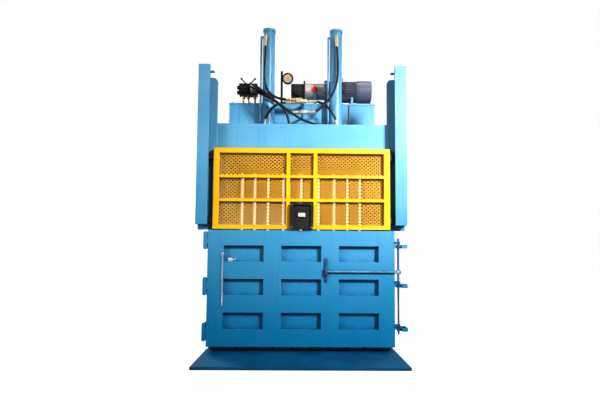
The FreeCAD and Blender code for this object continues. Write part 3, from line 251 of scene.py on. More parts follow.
def metalMaterial(name, look):
    # colour = drift of two tints, then dull scratches and shining edges blended over
    material, tree, shader, place = startMaterial(name)
    texture = metalTexture
    drift = remap(tree, noiseValue(tree, place, look["driftScale"], texture["driftDetail"]),
                  *texture["driftRange"])
    colour = blendColour(tree, drift, look["colour"], look["shade"])
    scratches = noiseValue(tree, place, *texture["brushNoise"], look["brush"])
    dull = remap(tree, scratches, *texture["brushRange"], 0, look["dull"])
    colour = blendColour(tree, dull, colour, look["stain"])
    rounded, edge = roundedEdge(tree, look["edge"])
    colour = blendColour(tree, multiply(tree, edge, look["shine"]), colour, look["bright"])
    grain = noiseValue(tree, place, look["grainScale"], texture["grainDetail"])
    bump = addNode(tree, "Bump", None, {"Height": grain, "Strength": look["grain"],
                                        "Distance": texture["grainHigh"], "Normal": rounded})
    sheen = remap(tree, scratches, *texture["sheenRange"], look["rough"] + texture["smoother"],
                  look["rough"] + texture["rougher"])
    tree.links.new(colour, shader.inputs["Base Color"])
    tree.links.new(sheen, shader.inputs["Roughness"])
    tree.links.new(bump.outputs["Normal"], shader.inputs["Normal"])
    shader.inputs["Metallic"].default_value = look["metal"]
    return material


brightSteel = {
    "colour": screenColour(188, 198, 208), "shade": screenColour(158, 172, 186), "driftScale": 9,
    "brush": (60, 60, 260), "dull": 0.35, "stain": screenColour(96, 104, 112), "edge": 0.0015, "shine": 0.5,
    "bright": screenColour(236, 240, 244), "grainScale": 300, "grain": 0.08, "rough": 0.32, "metal": 0.9,
}
metals = {
    "brightSteel": metalMaterial("brightSteel", brightSteel),
    "chrome": metalMaterial("rodChrome", dict(
        brightSteel, colour=screenColour(222, 226, 230), shade=screenColour(206, 212, 218),
        brush=(160, 160, 6), dull=0.12, grain=0.02, rough=0.14, metal=1.0)),
    "brass": metalMaterial("platedBrass", dict(
        brightSteel, colour=screenColour(226, 192, 138), shade=screenColour(198, 160, 104),
        stain=screenColour(120, 88, 52), bright=screenColour(250, 232, 196), rough=0.34, metal=0.75)),
    "zinc": metalMaterial("yellowZinc", dict(
        brightSteel, colour=screenColour(236, 216, 184), shade=screenColour(214, 186, 146),
        stain=screenColour(150, 118, 84), bright=screenColour(252, 244, 226), rough=0.36, metal=0.55)),
    "castAluminium": metalMaterial("castAluminium", dict(
        brightSteel, colour=screenColour(214, 200, 196), shade=screenColour(190, 176, 174), driftScale=16,
        brush=(30, 30, 30), dull=0.25, stain=screenColour(120, 110, 110), edge=0.003, grainScale=240,
        grain=0.45, rough=0.46, metal=0.45)),
    "darkSteel": metalMaterial("blueOxideSteel", dict(
        brightSteel, colour=screenColour(70, 132, 172), shade=screenColour(44, 98, 138),
        stain=screenColour(20, 34, 48), bright=screenColour(170, 196, 212), rough=0.42, metal=0.5)),
    "leverSteel": metalMaterial("leverSteel", dict(
        brightSteel, colour=screenColour(138, 178, 200), shade=screenColour(106, 148, 176),
        stain=screenColour(50, 74, 92), bright=screenColour(206, 226, 238), rough=0.42, metal=0.45)),
    "chain": metalMaterial("galvanised", dict(
        brightSteel, colour=screenColour(232, 240, 246), shade=screenColour(206, 222, 234), driftScale=40,
        rough=0.38, metal=0.25)),
}
print("metals made")


# hose rubber: black, with the fine wrap of its cloth cover pressed into it

def rubberMaterial(name, look):
    # colour = patches of two blacks; bump = diagonal bands
    material, tree, shader, place = startMaterial(name)
    patches = remap(tree, noiseValue(tree, place, *look["patchNoise"]), *look["patchRange"])
    colour = blendColour(tree, patches, look["colour"], look["worn"])
    wrap = addNode(tree, "TexWave", {"wave_type": "BANDS", "bands_direction": "DIAGONAL"}, {
        "Vector": place, "Scale": look["wrapScale"], "Distortion": look["wrapBend"],
        "Detail": look["wrapDetail"]}).outputs["Fac"]
    bump = addNode(tree, "Bump", None, {"Height": wrap, "Strength": look["wrap"],
                                        "Distance": look["wrapHigh"]})
    tree.links.new(colour, shader.inputs["Base Color"])
    tree.links.new(remap(tree, patches, 0, 1, *look["rough"]), shader.inputs["Roughness"])
    tree.links.new(bump.outputs["Normal"], shader.inputs["Normal"])
    return material


hoseRubber = rubberMaterial("hoseRubber", {
    "colour": screenColour(22, 20, 22), "worn": screenColour(38, 35, 37), "patchNoise": (24, 4),
    "patchRange": (0.35, 0.65), "wrapScale": 120, "wrap": 0.25, "wrapBend": 1.2, "wrapDetail": 1.0,
    "wrapHigh": 0.001, "rough": (0.42 - 0.06, 0.42 + 0.08)})
print("rubber made")


# CAD nodes that keep their shape take their finish here

finishes = {
    paints["blue"]: (
        "left_side_wall right_side_wall rear_wall front_beam head_walls head_deck left_guide_post "
        "right_guide_post floor_bars hinge_frame_knuckles lock_keepers door_shell door_liner "
        "hinge_door_knuckles oil_tank tank_lid cylinder_barrels cylinder_caps rod_glands hard_lines platen"),
    paints["shadedBaseBlue"]: "base_plate",
    paints["yellow"]: "gate_frame",
    paints["mesh"]: "gate_mesh",
    paints["black"]: "deck_fittings valve_block left_valve_lever right_valve_lever tank_breather",
    paints["grey"]: "motor_housing fan_cover terminal_box",
    paints["pumpIron"]: "pump_body",
    paints["red"]: "inspection_plug",
    paints["blackPlastic"]: "gate_shoes latch_case cooling_fan pressure_gauge",
    paints["palePlastic"]: "latch_paddle",
    metals["brightSteel"]: "hinge_pins drive_rotor shaft_coupling pistons",
    metals["leverSteel"]: "lock_lever",
    metals["darkSteel"]: "lock_shaft door_lock_brackets",
    metals["chrome"]: "piston_rods",
    metals["brass"]: "valve_fittings hose_manifolds",
    metals["zinc"]: "port_elbows",
    metals["castAluminium"]: "bell_housing",
    metals["chain"]: "door_chain",
    hoseRubber: "left_cap_hose right_cap_hose upper_supply_hose lower_supply_hose left_rod_hose "
                "right_rod_hose drain_hose return_hose",
}
for material, names in finishes.items():
    for nodeName in names.split():
        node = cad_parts[nodeName]
        node.data.materials.clear()
        node.data.materials.append(material)
        for face in node.data.polygons:
            face.material_index = 0
print("finishes given to the frame")


# mesh helpers: a part is an array of points and a list of faces

def gridFaces(rows, columns, closeRows=False, closeColumns=True):
    # the quad between each point of a grid and its next neighbours, round the end where a way is closed
    row, column = np.meshgrid(np.arange(rows if closeRows else rows - 1),
                              np.arange(columns if closeColumns else columns - 1), indexing="ij")
    nextRow, nextColumn = (row + 1) % rows, (column + 1) % columns
    corners = (row * columns + column, row * columns + nextColumn,
               nextRow * columns + nextColumn, nextRow * columns + column)
    return np.stack(corners, -1).reshape(-1, 4).tolist()


def lathe(profile, start, axis, around=24):
    # point(i, angle) = start + axis * along[i] + radius[i] * (side * cos(angle) + up * sin(angle))
    profile = np.array(profile, float)
    axis = Vector(axis).normalized()
    side = axis.orthogonal().normalized()
    up = axis.cross(side)
    angles = np.arange(around) * 2 * math.pi / around
    spokes = np.cos(angles)[:, None] * np.array(side) + np.sin(angles)[:, None] * np.array(up)
    middle = np.array(start) + profile[:, :1] * np.array(axis)
    points = (middle[:, None, :] + profile[:, 1][:, None, None] * spokes[None]).reshape(-1, 3)
    faces = gridFaces(len(profile), around)
    faces.append(list(range(around))[::-1])
    faces.append(list(range((len(profile) - 1) * around, len(profile) * around)))
    return points, faces


boltShape = {"washerLow": -0.001, "washerTop": 0.002, "washer": 0.66, "head": 0.56, "headTop": 0.46,
             "shoulder": 0.8, "around": 16}


def hexBolt(place, axis, across, high):
    # radii are shares of the width across: a washer, then six sides drawn in over the last of the height
    top = boltShape["washerTop"]
    washer = lathe([(boltShape["washerLow"], across * boltShape["washer"]),
                    (top, across * boltShape["washer"])], place, axis, boltShape["around"])
    head = lathe([(0.0, across * boltShape["head"]),
                  (top + high * boltShape["shoulder"], across * boltShape["head"]),
                  (top + high, across * boltShape["headTop"])], place, axis, 6)
    return [washer, head]


def makePiece(name, parts, body, material, replaced=(), sharp=32):
    # one object of all the parts, faces outwards, smooth where they meet at less than the sharp angle
    points, faces, start = [], [], 0
    for partPoints, partFaces in parts:
        points.append(partPoints)
        faces += [[corner + start for corner in face] for face in partFaces]
        start += len(partPoints)
    mesh = bpy.data.meshes.new(name)
    mesh.from_pydata(np.concatenate(points).tolist(), [], faces)
    shape = bmesh.new()
    shape.from_mesh(mesh)
    bmesh.ops.recalc_face_normals(shape, faces=shape.faces)
    shape.to_mesh(mesh)
    shape.free()
    mesh.shade_smooth()
    mesh.set_sharp_from_angle(angle=math.radians(sharp))
    mesh.materials.append(material)
    piece = bpy.data.objects.new(name, mesh)
    bpy.context.collection.objects.link(piece)
    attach(piece, body)
    if replaced:
        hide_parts(*replaced)
    return piece


# hoses, each one smooth line through its own route, with crimped ends

hoseSizes = {"radius": 0.012, "around": 4, "along": 12, "sleeveRadius": 0.0162, "sleeveLong": 0.052,
             "sleeveBack": 0.004, "lip": 0.86, "shoulder": 0.98, "shoulderLong": 0.006, "endLong": 0.003,
             "sleeveAround": 20}
sleeveRings = {"from": 0.010, "pitch": 0.009, "count": 4, "deep": 0.90, "groove": (0.0015, 0.0055),
               "wide": 0.007}
hoseRoutes = {
    "left_cap_hose": [
        (-0.4035, -0.147, 3.244), (-0.406, -0.155, 3.09), (-0.414, -0.162, 2.93), (-0.412, -0.164, 2.8),
        (-0.385, -0.162, 2.705), (-0.325, -0.155, 2.645), (-0.255, -0.146, 2.612), (-0.19, -0.138, 2.6),
        (-0.126, -0.137, 2.598)],
    "right_cap_hose": [
        (0.372, -0.152, 3.244), (0.381, -0.158, 3.09), (0.386, -0.163, 2.93), (0.376, -0.168, 2.79),
        (0.334, -0.176, 2.665), (0.262, -0.188, 2.56), (0.185, -0.2, 2.48), (0.135, -0.205, 2.452),
        (0.092, -0.205, 2.446)],
    "upper_supply_hose": [
        (-0.525, 0.092, 2.805), (-0.525, 0.02, 2.8), (-0.518, -0.06, 2.78), (-0.48, -0.14, 2.73),
        (-0.41, -0.184, 2.668), (-0.325, -0.192, 2.622), (-0.24, -0.184, 2.6), (-0.18, -0.172, 2.598),
        (-0.126, -0.168, 2.597)],
    "lower_supply_hose": [
        (-0.525, 0.092, 2.762), (-0.526, 0.015, 2.756), (-0.52, -0.075, 2.736), (-0.48, -0.16, 2.69),
        (-0.4, -0.212, 2.63), (-0.31, -0.226, 2.57), (-0.22, -0.222, 2.508), (-0.15, -0.212, 2.462),
        (-0.1, -0.206, 2.446), (-0.062, -0.205, 2.446)],
    "left_rod_hose": [
        (-0.126, -0.152, 2.568), (-0.18, -0.154, 2.567), (-0.24, -0.16, 2.554), (-0.295, -0.166, 2.524),
        (-0.342, -0.17, 2.476), (-0.378, -0.166, 2.42), (-0.398, -0.156, 2.37), (-0.4035, -0.147, 2.328)],
    "right_rod_hose": [
        (0.108, -0.152, 2.582), (0.165, -0.154, 2.58), (0.226, -0.162, 2.558), (0.28, -0.17, 2.512),
        (0.324, -0.174, 2.452), (0.355, -0.168, 2.4), (0.368, -0.158, 2.362), (0.372, -0.152, 2.328)],
    "drain_hose": [
        (-0.565, 0.092, 2.805), (-0.566, 0.01, 2.8), (-0.56, -0.08, 2.78), (-0.524, -0.17, 2.735),
        (-0.45, -0.25, 2.672), (-0.36, -0.296, 2.598), (-0.27, -0.318, 2.524), (-0.18, -0.342, 2.45),
        (-0.09, -0.38, 2.372), (0.005, -0.43, 2.3), (0.11, -0.48, 2.246), (0.22, -0.498, 2.226),
        (0.335, -0.494, 2.225), (0.448, -0.488, 2.228)],
    "return_hose": [
        (-0.565, 0.092, 2.762), (-0.567, 0.01, 2.756), (-0.562, -0.08, 2.738), (-0.53, -0.16, 2.7),
        (-0.46, -0.226, 2.645), (-0.37, -0.254, 2.592), (-0.285, -0.262, 2.545), (-0.215, -0.26, 2.492),
        (-0.165, -0.252, 2.42), (-0.138, -0.25, 2.33), (-0.131, -0.25, 2.252)],
}


def crimpedSleeve(start, toward):
    # a turned sleeve along the hose: radius = full between the pressed rings, times deep within them
    radius, length = hoseSizes["sleeveRadius"], hoseSizes["sleeveLong"]
    profile = [(-hoseSizes["sleeveBack"], radius * hoseSizes["lip"]), (0.0, radius * hoseSizes["shoulder"]),
               (hoseSizes["shoulderLong"], radius)]
    for number in range(sleeveRings["count"]):
        at = sleeveRings["from"] + number * sleeveRings["pitch"]
        pressed = [(at + along, radius * sleeveRings["deep"]) for along in sleeveRings["groove"]]
        profile += [(at, radius), *pressed, (at + sleeveRings["wide"], radius)]
    profile += [(length - hoseSizes["endLong"], radius), (length, radius * hoseSizes["lip"])]
    return lathe(profile, start, Vector(toward) - Vector(start), hoseSizes["sleeveAround"])


def makeHose(name, route):
    # a smooth round line that starts and ends on the route and is drawn to its points between, with
    # a sleeve at each end
    curve = bpy.data.curves.new(name, "CURVE")
    curve.dimensions = "3D"
    curve.bevel_depth = hoseSizes["radius"]
    curve.bevel_resolution = hoseSizes["around"]
    curve.resolution_u = hoseSizes["along"]
    curve.use_fill_caps = True
    spline = curve.splines.new("NURBS")
    spline.points.add(len(route) - 1)
    for point, place in zip(spline.points, route):
        point.co = (*place, 1)
    spline.order_u = 3
    spline.use_endpoint_u = True
    curve.materials.append(hoseRubber)
    piece = bpy.data.objects.new("rubber_" + name, curve)
    bpy.context.collection.objects.link(piece)
    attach(piece, "root")
    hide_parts(name)
    sleeves = [crimpedSleeve(route[0], route[1]), crimpedSleeve(route[-1], route[-2])]
    ends = makePiece("sleeves_" + name, sleeves, "root", metals["zinc"])


for hoseName, hoseRoute in hoseRoutes.items():
    makeHose(hoseName, hoseRoute)
print("hoses made")


# gate mesh: rows of zigzag strands that meet in diamonds

gateMesh = {"cellWide": 0.040, "cellHigh": 0.034, "strand": 0.0074, "thick": 0.0024, "stagger": 0.0001,
            "slant": 0.70}


def zigzagMesh(low, high):
    # strand(row, i) = (low.x + i * half cell, middle, row's height + or - a quarter cell by turns)
    columns = round((high.x - low.x) / (gateMesh["cellWide"] / 2)) + 1
    rows = round((high.z - low.z - gateMesh["strand"]) / (gateMesh["cellHigh"] / 2))
    rise = (high.z - low.z - 2 * gateMesh["strand"]) / rows
    across = np.linspace(low.x, high.x, columns)
    row = np.arange(rows)
    heights = low.z + gateMesh["strand"] + rise * (row[:, None] + 0.5)
    swing = np.where((np.arange(columns)[None] + row[:, None]) % 2 == 0, 0.5, -0.5) * rise
    line = np.empty((rows, columns, 4, 3))
    line[..., 0] = across[None, :, None]
    middle = (low.y + high.y) / 2 + np.where(row % 2 == 0, gateMesh["stagger"], -gateMesh["stagger"])
    halfDeep, halfHigh = gateMesh["thick"] / 2, gateMesh["strand"] * gateMesh["slant"]
    line[..., 1] = middle[:, None, None] + halfDeep * np.array([-1, 1, 1, -1])
    line[..., 2] = (heights + swing)[..., None] + halfHigh * np.array([-1, -1, 1, 1])
    faces = gridFaces(columns, 4) + [[3, 2, 1, 0], list(range(4 * columns - 4, 4 * columns))]
    return [(strand.reshape(-1, 3), faces) for strand in line]


makePiece("expanded_mesh", zigzagMesh(*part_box("gate_mesh")), "gate", paints["mesh"],
          ["gate_mesh"], 20)
print("gate mesh made")


# helpers for the fittings: a block with cut edges, a bent round bar, a ring, a pipe nut, bolts in a circle

def cutBlock(low, high, cut):
    # ring(i, corner) = middle + the corner's sign * (half the size - the inset of ring i), corners cut
    low, high = np.array(low, float), np.array(high, float)
    middle, half = (low + high) / 2, (high - low) / 2
    signs = np.array([(-1, -1), (1, -1), (1, -1), (1, 1), (1, 1), (-1, 1), (-1, 1), (-1, -1)])
    cuts = np.array([(1, 0), (1, 0), (0, 1), (0, 1)] * 2) * cut
    inset = np.array([cut, 0, 0, cut])[:, None]
    rings = np.empty((4, 8, 3))
    rings[..., 0] = middle[0] + signs[:, 0] * (half[0] - cuts[:, 0] - inset)
    rings[..., 1] = middle[1] + np.array([-half[1], cut - half[1], half[1] - cut, half[1]])[:, None]
    rings[..., 2] = middle[2] + signs[:, 1] * (half[2] - cuts[:, 1] - inset)
    return rings.reshape(-1, 3), gridFaces(4, 8) + [list(range(8))[::-1], list(range(24, 32))]


def bentBar(path, radius, normal, around=8, closed=False):
    # point(i, angle) = path[i] + radius * (normal * cos(angle) + across[i] * sin(angle)); the path is flat
    path, normal = np.array(path, float), np.array(normal, float)
    along = np.roll(path, -1, 0) - np.roll(path, 1, 0) if closed else np.gradient(path, axis=0)
    across = np.cross(along, normal)
    across /= np.linalg.norm(across, axis=1)[:, None]
    angles = (np.arange(around) * 2 * math.pi / around)[None, :, None]
    radius = np.broadcast_to(radius, len(path))[:, None, None]
    points = path[:, None] + radius * (np.cos(angles) * normal + np.sin(angles) * across[:, None])
    faces = gridFaces(len(path), around, closed)
    if not closed:
        faces += [list(range(around))[::-1], list(range((len(path) - 1) * around, len(path) * around))]
    return points.reshape(-1, 3), faces


def ring(middle, radius, wire, first, second, count=24):
    # path(angle) = middle + radius * (first * cos(angle) + second * sin(angle))
    angles = (np.arange(count) * 2 * math.pi / count)[:, None]
    path = np.array(middle) + radius * (np.cos(angles) * np.array(first) + np.sin(angles) * np.array(second))
    return bentBar(path, wire, np.cross(first, second), 8, True)


nutShape = {"neck": 0.38, "edge": 0.48, "side": 0.56, "alongs": (0.28, 0.34, 0.86, 0.92)}


def pipeNut(start, end, across):
    # a neck from start to end, with six sides over the middle shares of its length
    way = Vector(end) - Vector(start)
    neck = across * nutShape["neck"]
    radii = [across * nutShape[key] for key in ("edge", "side", "side", "edge")]
    profile = [(way.length * share, radius) for share, radius in zip(nutShape["alongs"], radii)]
    return [lathe([(0, neck), (way.length, neck)], start, way, 16), lathe(profile, start, way, 6)]


def boltCircle(middle, axis, radius, count, across, high, turn=0.0):
    # bolt(i) stands at middle + radius * (side * cos(angle) + up * sin(angle))
    side = Vector(axis).normalized().orthogonal().normalized()
    up = Vector(axis).normalized().cross(side)
    bolts = []
    for number in range(count):
        angle = turn + number * 2 * math.pi / count
        place = Vector(middle) + radius * (side * math.cos(angle) + up * math.sin(angle))
        bolts += hexBolt(place, axis, across, high)
    return bolts


# pressure gauge: dished case on a post, cream dial, scale marks, needle

gauge = {
    "middle": (-0.168, 0.265, 2.966), "around": 40, "cut": 0.002,
    "case": [(0.0, 0.044), (0.005, 0.056), (0.010, 0.060), (0.040, 0.060), (0.042, 0.066), (0.050, 0.066),
             (0.054, 0.062), (0.054, 0.0535), (0.046, 0.0515)],
    "post": [(-0.250, 0.245, 2.615), (-0.226, 0.265, 3.062)],
    "strap": [(-0.238, 0.252, 2.954), (-0.208, 0.264, 2.978)],
    "dial": 0.0505, "dialBack": 0.040, "face": 0.0482, "lift": 0.0004,
    "marks": 11, "sweep": 270, "markEdge": 0.003, "markLong": 0.009, "markWide": 0.0012,
    "needleTurn": 118, "needleTail": -0.008, "needleTip": 0.036, "needleWide": 0.0016,
    "hub": [(0.0482, 0.005), (0.0512, 0.005), (0.0517, 0.003)], "hubAround": 12,
}
outwards = (0, -1, 0)

makePiece("gauge_case", [lathe(gauge["case"], gauge["middle"], outwards, gauge["around"]),
                         cutBlock(*gauge["post"], gauge["cut"]), cutBlock(*gauge["strap"], gauge["cut"])],
          "root", paints["black"], ["pressure_gauge"])
makePiece("gauge_dial", [lathe([(gauge["dialBack"], gauge["dial"]), (gauge["face"], gauge["dial"])],
                               gauge["middle"], outwards, gauge["around"])],
          "root", paints["dial"])


def dialMark(turn, inner, outer, wide):
    # a flat bar on the dial from one radius to another, turned clockwise from straight up
    turn = math.radians(turn)
    out = np.array([math.sin(turn), 0, math.cos(turn)])
    start = np.array(gauge["middle"]) + (gauge["face"] + gauge["lift"]) * np.array(outwards)
    return bentBar([start + out * inner, start + out * outer], wide, (0, 1, 0), 4)


markOuter = gauge["dial"] - gauge["markEdge"]
makePiece("gauge_marks", [
    dialMark(turn, markOuter - gauge["markLong"], markOuter, gauge["markWide"])
    for turn in np.linspace(-gauge["sweep"] / 2, gauge["sweep"] / 2, gauge["marks"])],
    "root", paints["black"])
makePiece("gauge_needle", [
    dialMark(gauge["needleTurn"], gauge["needleTail"], gauge["needleTip"], gauge["needleWide"]),
    lathe(gauge["hub"], gauge["middle"], outwards, gauge["hubAround"])],
    "root", paints["red"])
print("gauge made")


# hose manifolds: turned blocks with a nut at every port, carried on arms from the tank

manifold = {
    "ports": [
        ((-0.064, -0.137, 2.598), (-0.126, -0.137, 2.598)),
        ((-0.064, -0.168, 2.597), (-0.126, -0.168, 2.597)),
        ((-0.064, -0.152, 2.568), (-0.126, -0.152, 2.568)),
        ((0.046, -0.152, 2.582), (0.108, -0.152, 2.582)),
        ((-0.020, -0.205, 2.446), (-0.062, -0.205, 2.446)), ((0.050, -0.205, 2.446), (0.092, -0.205, 2.446))],
    "blocks": [((-0.070, -0.184, 2.560), (0.004, -0.124, 2.612)),
               ((-0.004, -0.174, 2.564), (0.050, -0.130, 2.600)),
               ((-0.024, -0.222, 2.430), (0.054, -0.188, 2.462))],
    "arms": [((-0.020, -0.128, 2.562), (0.020, 0.043, 2.588)),
             ((-0.014, -0.192, 2.434), (0.014, 0.043, 2.456))],
    "nut": 0.028, "blockCut": 0.005, "armCut": 0.003,
}
makePiece("manifold_blocks", [cutBlock(low, high, manifold["blockCut"]) for low, high in manifold["blocks"]]
          + [part for start, end in manifold["ports"] for part in pipeNut(start, end, manifold["nut"])],
          "root", metals["zinc"], ["hose_manifolds"])
makePiece("manifold_arms", [cutBlock(low, high, manifold["armCut"]) for low, high in manifold["arms"]],
          "root", paints["blue"])
print("manifolds made")


# motor: round flange, shell with straight cooling fins, plain bands, lid and glands, lifting eye

motor = {
    "y": 0.290, "z": 2.833, "finFrom": 0.308, "finTo": 0.632, "fins": 40, "root": 0.107, "tip": 0.121,
    "finCorners": (0.05, 0.14, 0.42, 0.51), "around": 48,
    "front": 0.268, "flange": [(0.0, 0.130), (0.003, 0.134), (0.019, 0.134), (0.022, 0.130), (0.024, 0.122),
                               (0.044, 0.122), (0.048, 0.112)],
    "rear": 0.625, "rearBand": [(0.0, 0.112), (0.004, 0.122), (0.024, 0.122), (0.028, 0.119)],
    "seat": [(0.384, 0.168, 2.786), (0.496, 0.205, 2.882)], "cut": 0.003,
    "eyeX": 0.462, "eyeFootZ": 2.950, "eyeFoot": [(0, 0.014), (0.010, 0.014), (0.012, 0.008), (0.020, 0.008)],
    "eyeZ": 2.984, "eyeRadius": 0.017, "eyeWire": 0.005,
}
terminal = {
    "lid": [(0.386, 0.103, 2.785), (0.494, 0.112, 2.883)], "cut": 0.003,
    "glands": [(0.420, 0.142, 2.790), (0.460, 0.142, 2.790)],
    "gland": [(0.0, 0.013), (0.012, 0.013), (0.014, 0.010), (0.026, 0.010)],
}
grille = {"x": 0.8035, "rings": (0.024, 0.040, 0.056, 0.072, 0.088, 0.104), "wire": 0.0022, "corners": 40,
          "spokes": 8, "spokeFrom": 0.010, "spokeTo": 0.108}


def finnedShell():
    # radius(angle) steps between root and tip twice a fin; the same outline at both ends
    angles = (np.repeat(np.arange(motor["fins"]), 4) + np.tile(motor["finCorners"], motor["fins"]))
    angles = angles * 2 * math.pi / motor["fins"]
    radii = np.tile([motor["root"], motor["tip"], motor["tip"], motor["root"]], motor["fins"])
    outline = np.stack([np.zeros(len(radii)), motor["y"] + radii * np.cos(angles),
                        motor["z"] + radii * np.sin(angles)], -1)
    points = np.stack([outline + (motor["finFrom"], 0, 0), outline + (motor["finTo"], 0, 0)]).reshape(-1, 3)
    count = len(radii)
    return points, gridFaces(2, count) + [list(range(count))[::-1], list(range(count, 2 * count))]


def onMotor(x, radius=0.0, turn=0.0):
    # (x, axis y + radius * cos(turn), axis z + radius * sin(turn))
    return x, motor["y"] + radius * math.cos(turn), motor["z"] + radius * math.sin(turn)


makePiece("finned_motor", [
    finnedShell(),
    lathe(motor["flange"], onMotor(motor["front"]), (1, 0, 0), motor["around"]),
    lathe(motor["rearBand"], onMotor(motor["rear"]), (1, 0, 0), motor["around"]),
    cutBlock(*motor["seat"], motor["cut"]),
    lathe(motor["eyeFoot"], (motor["eyeX"], motor["y"], motor["eyeFootZ"]), (0, 0, 1), 16),
    ring((motor["eyeX"], motor["y"], motor["eyeZ"]), motor["eyeRadius"], motor["eyeWire"],
         (1, 0, 0), (0, 0, 1)),
], "root", paints["grey"], ["motor_housing"], 28)
makePiece("terminal_lid", [cutBlock(*terminal["lid"], terminal["cut"])] + [
    lathe(terminal["gland"], place, (0, 0, -1), 16) for place in terminal["glands"]],
    "root", paints["blackPlastic"])
spokeTurns = np.arange(grille["spokes"]) * 2 * math.pi / grille["spokes"]
makePiece("fan_grille", [
    ring(onMotor(grille["x"]), radius, grille["wire"], (0, 1, 0), (0, 0, 1), grille["corners"])
    for radius in grille["rings"]
] + [bentBar([onMotor(grille["x"], grille[end], turn) for end in ("spokeFrom", "spokeTo")],
             grille["wire"], (1, 0, 0), 6) for turn in spokeTurns],
    "root", paints["black"])
print("motor made")


# door chain: eye, oval links turned by turns, a pin on the last, and the hook it hangs on when used

chain = {
    "x": -0.741, "y": -0.711, "top": 0.922, "pitch": 0.0238, "links": 17, "long": 0.0345, "wide": 0.0195,
    "wire": 0.0028, "corners": 16,
    "eye": (-0.741, -0.709, 0.928), "eyeRadius": 0.0105, "eyeWire": 0.0030,
    "studPlace": (-0.741, -0.698, 0.940),
    "stud": [(0, 0.008), (0.003, 0.008), (0.005, 0.004), (0.012, 0.004)],
    "pinFoot": 0.446, "pin": [(0, 0.003), (0.010, 0.007), (0.056, 0.007), (0.060, 0.004), (0.078, 0.004)],
}
hook = {"plate": [(-0.691, -0.706, 0.864), (-0.650, -0.688, 0.896)], "cut": 0.003, "wire": 0.0042,
        "y": -0.709, "z": 0.880, "from": -0.676, "to": -0.636, "bendX": -0.632, "bend": 0.010,
        "turns": (-90, 40), "corners": 9}


def chainLink(number):
    # path(angle) = bend * cos(angle) sideways, bend * sin(angle) up, its halves drawn apart
    angles = (np.arange(chain["corners"]) + 0.5) * 2 * math.pi / chain["corners"]
    bend = chain["wide"] / 2 - chain["wire"]
    rise = bend * np.sin(angles) + np.where(np.sin(angles) > 0, 1, -1) * (chain["long"] - chain["wide"]) / 2
    turn = math.pi / 4 if number % 2 == 0 else -math.pi / 4
    side = np.array([math.cos(turn), math.sin(turn), 0])
    middle = np.array([chain["x"], chain["y"], chain["top"] - chain["long"] / 2 - number * chain["pitch"]])
    path = middle + bend * np.cos(angles)[:, None] * side + rise[:, None] * np.array([0, 0, 1])
    return bentBar(path, chain["wire"], (-side[1], side[0], 0), 6, True)


def bentHook():
    # a straight shank, then an arc: (bendX + bend * cos(turn), y, z + bend + bend * sin(turn))
    turns = np.radians(np.linspace(*hook["turns"], hook["corners"]))
    arc = np.stack([hook["bendX"] + hook["bend"] * np.cos(turns), np.full(hook["corners"], hook["y"]),
                    hook["z"] + hook["bend"] * (1 + np.sin(turns))], -1)
    shank = [(hook["from"], hook["y"], hook["z"]), (hook["to"], hook["y"], hook["z"])]
    return bentBar(np.concatenate([shank, arc]), hook["wire"], (0, 1, 0), 8)


makePiece("chain_links", [chainLink(number) for number in range(chain["links"])] + [
    ring(chain["eye"], chain["eyeRadius"], chain["eyeWire"], (1, 0, 0), (0, 0, 1), 16),
    lathe(chain["stud"], chain["studPlace"], outwards, 12),
    lathe(chain["pin"], (chain["x"], chain["y"], chain["pinFoot"]), (0, 0, 1), 12),
    cutBlock(*hook["plate"], hook["cut"]),
    bentHook(),
], "door", metals["chain"], ["door_chain"], 40)
print("chain made")


# valve: plugs in the unused ports, caps over the spools; a plug's size is (across, high)

valve = {"frontX": (-0.606, -0.648, -0.690), "frontZ": (2.805, 2.762), "frontY": 0.100,
         "front": (0.024, 0.014), "topX": (-0.534, -0.702), "topY": 0.160, "topZ": 2.860,
         "top": (0.022, 0.016)}

valvePlugs = []
for plugX in valve["frontX"]:
    for plugZ in valve["frontZ"]:
        valvePlugs += hexBolt((plugX, valve["frontY"], plugZ), outwards, *valve["front"])
for plugX in valve["topX"]:
    valvePlugs += hexBolt((plugX, valve["topY"], valve["topZ"]), (0, 0, 1), *valve["top"])
makePiece("valve_plugs", valvePlugs, "root", paints["black"])
print("valve plugs made")


# bolts: ram flanges, tank lid, motor flange, terminal lid, pump, latch case; sizes are (across, high)

ramBolts = {"x": 0.372, "y": -0.050, "z": 2.232, "radius": 0.079, "count": 8, "size": (0.013, 0.010)}
lidBolts = {"half": 0.780, "count": 9, "y": (0.056, 0.524), "z": 2.615, "size": (0.018, 0.010)}
flangeBolts = {"radius": 0.115, "count": 8, "size": (0.016, 0.010)}
terminalBolts = {"x": (0.396, 0.484), "y": 0.103, "z": (2.795, 2.873), "size": (0.009, 0.005)}
pump = {"x": -0.055, "z": 2.823, "cover": 0.198, "face": 0.220, "cornerX": (-0.115, 0.005),
        "cornerZ": (2.775, 2.891), "radius": 0.042, "count": 6, "coverSize": (0.013, 0.009),
        "cornerSize": (0.015, 0.010), "cut": 0.002,
        "boss": [(-0.002, 0.026), (0.006, 0.026), (0.008, 0.023), (0.008, 0.014), (0.013, 0.013)],
        "ribs": [((-0.116, 0.212, 2.828), (-0.108, 0.224, 2.860)),
                 ((-0.002, 0.212, 2.790), (0.006, 0.224, 2.860))]}
latchScrews = {"x": (-0.090, 0.090), "y": -0.7395, "z": (1.188, 1.402),
               "head": [(0.0, 0.0062), (0.002, 0.0058), (0.0035, 0.0036)]}

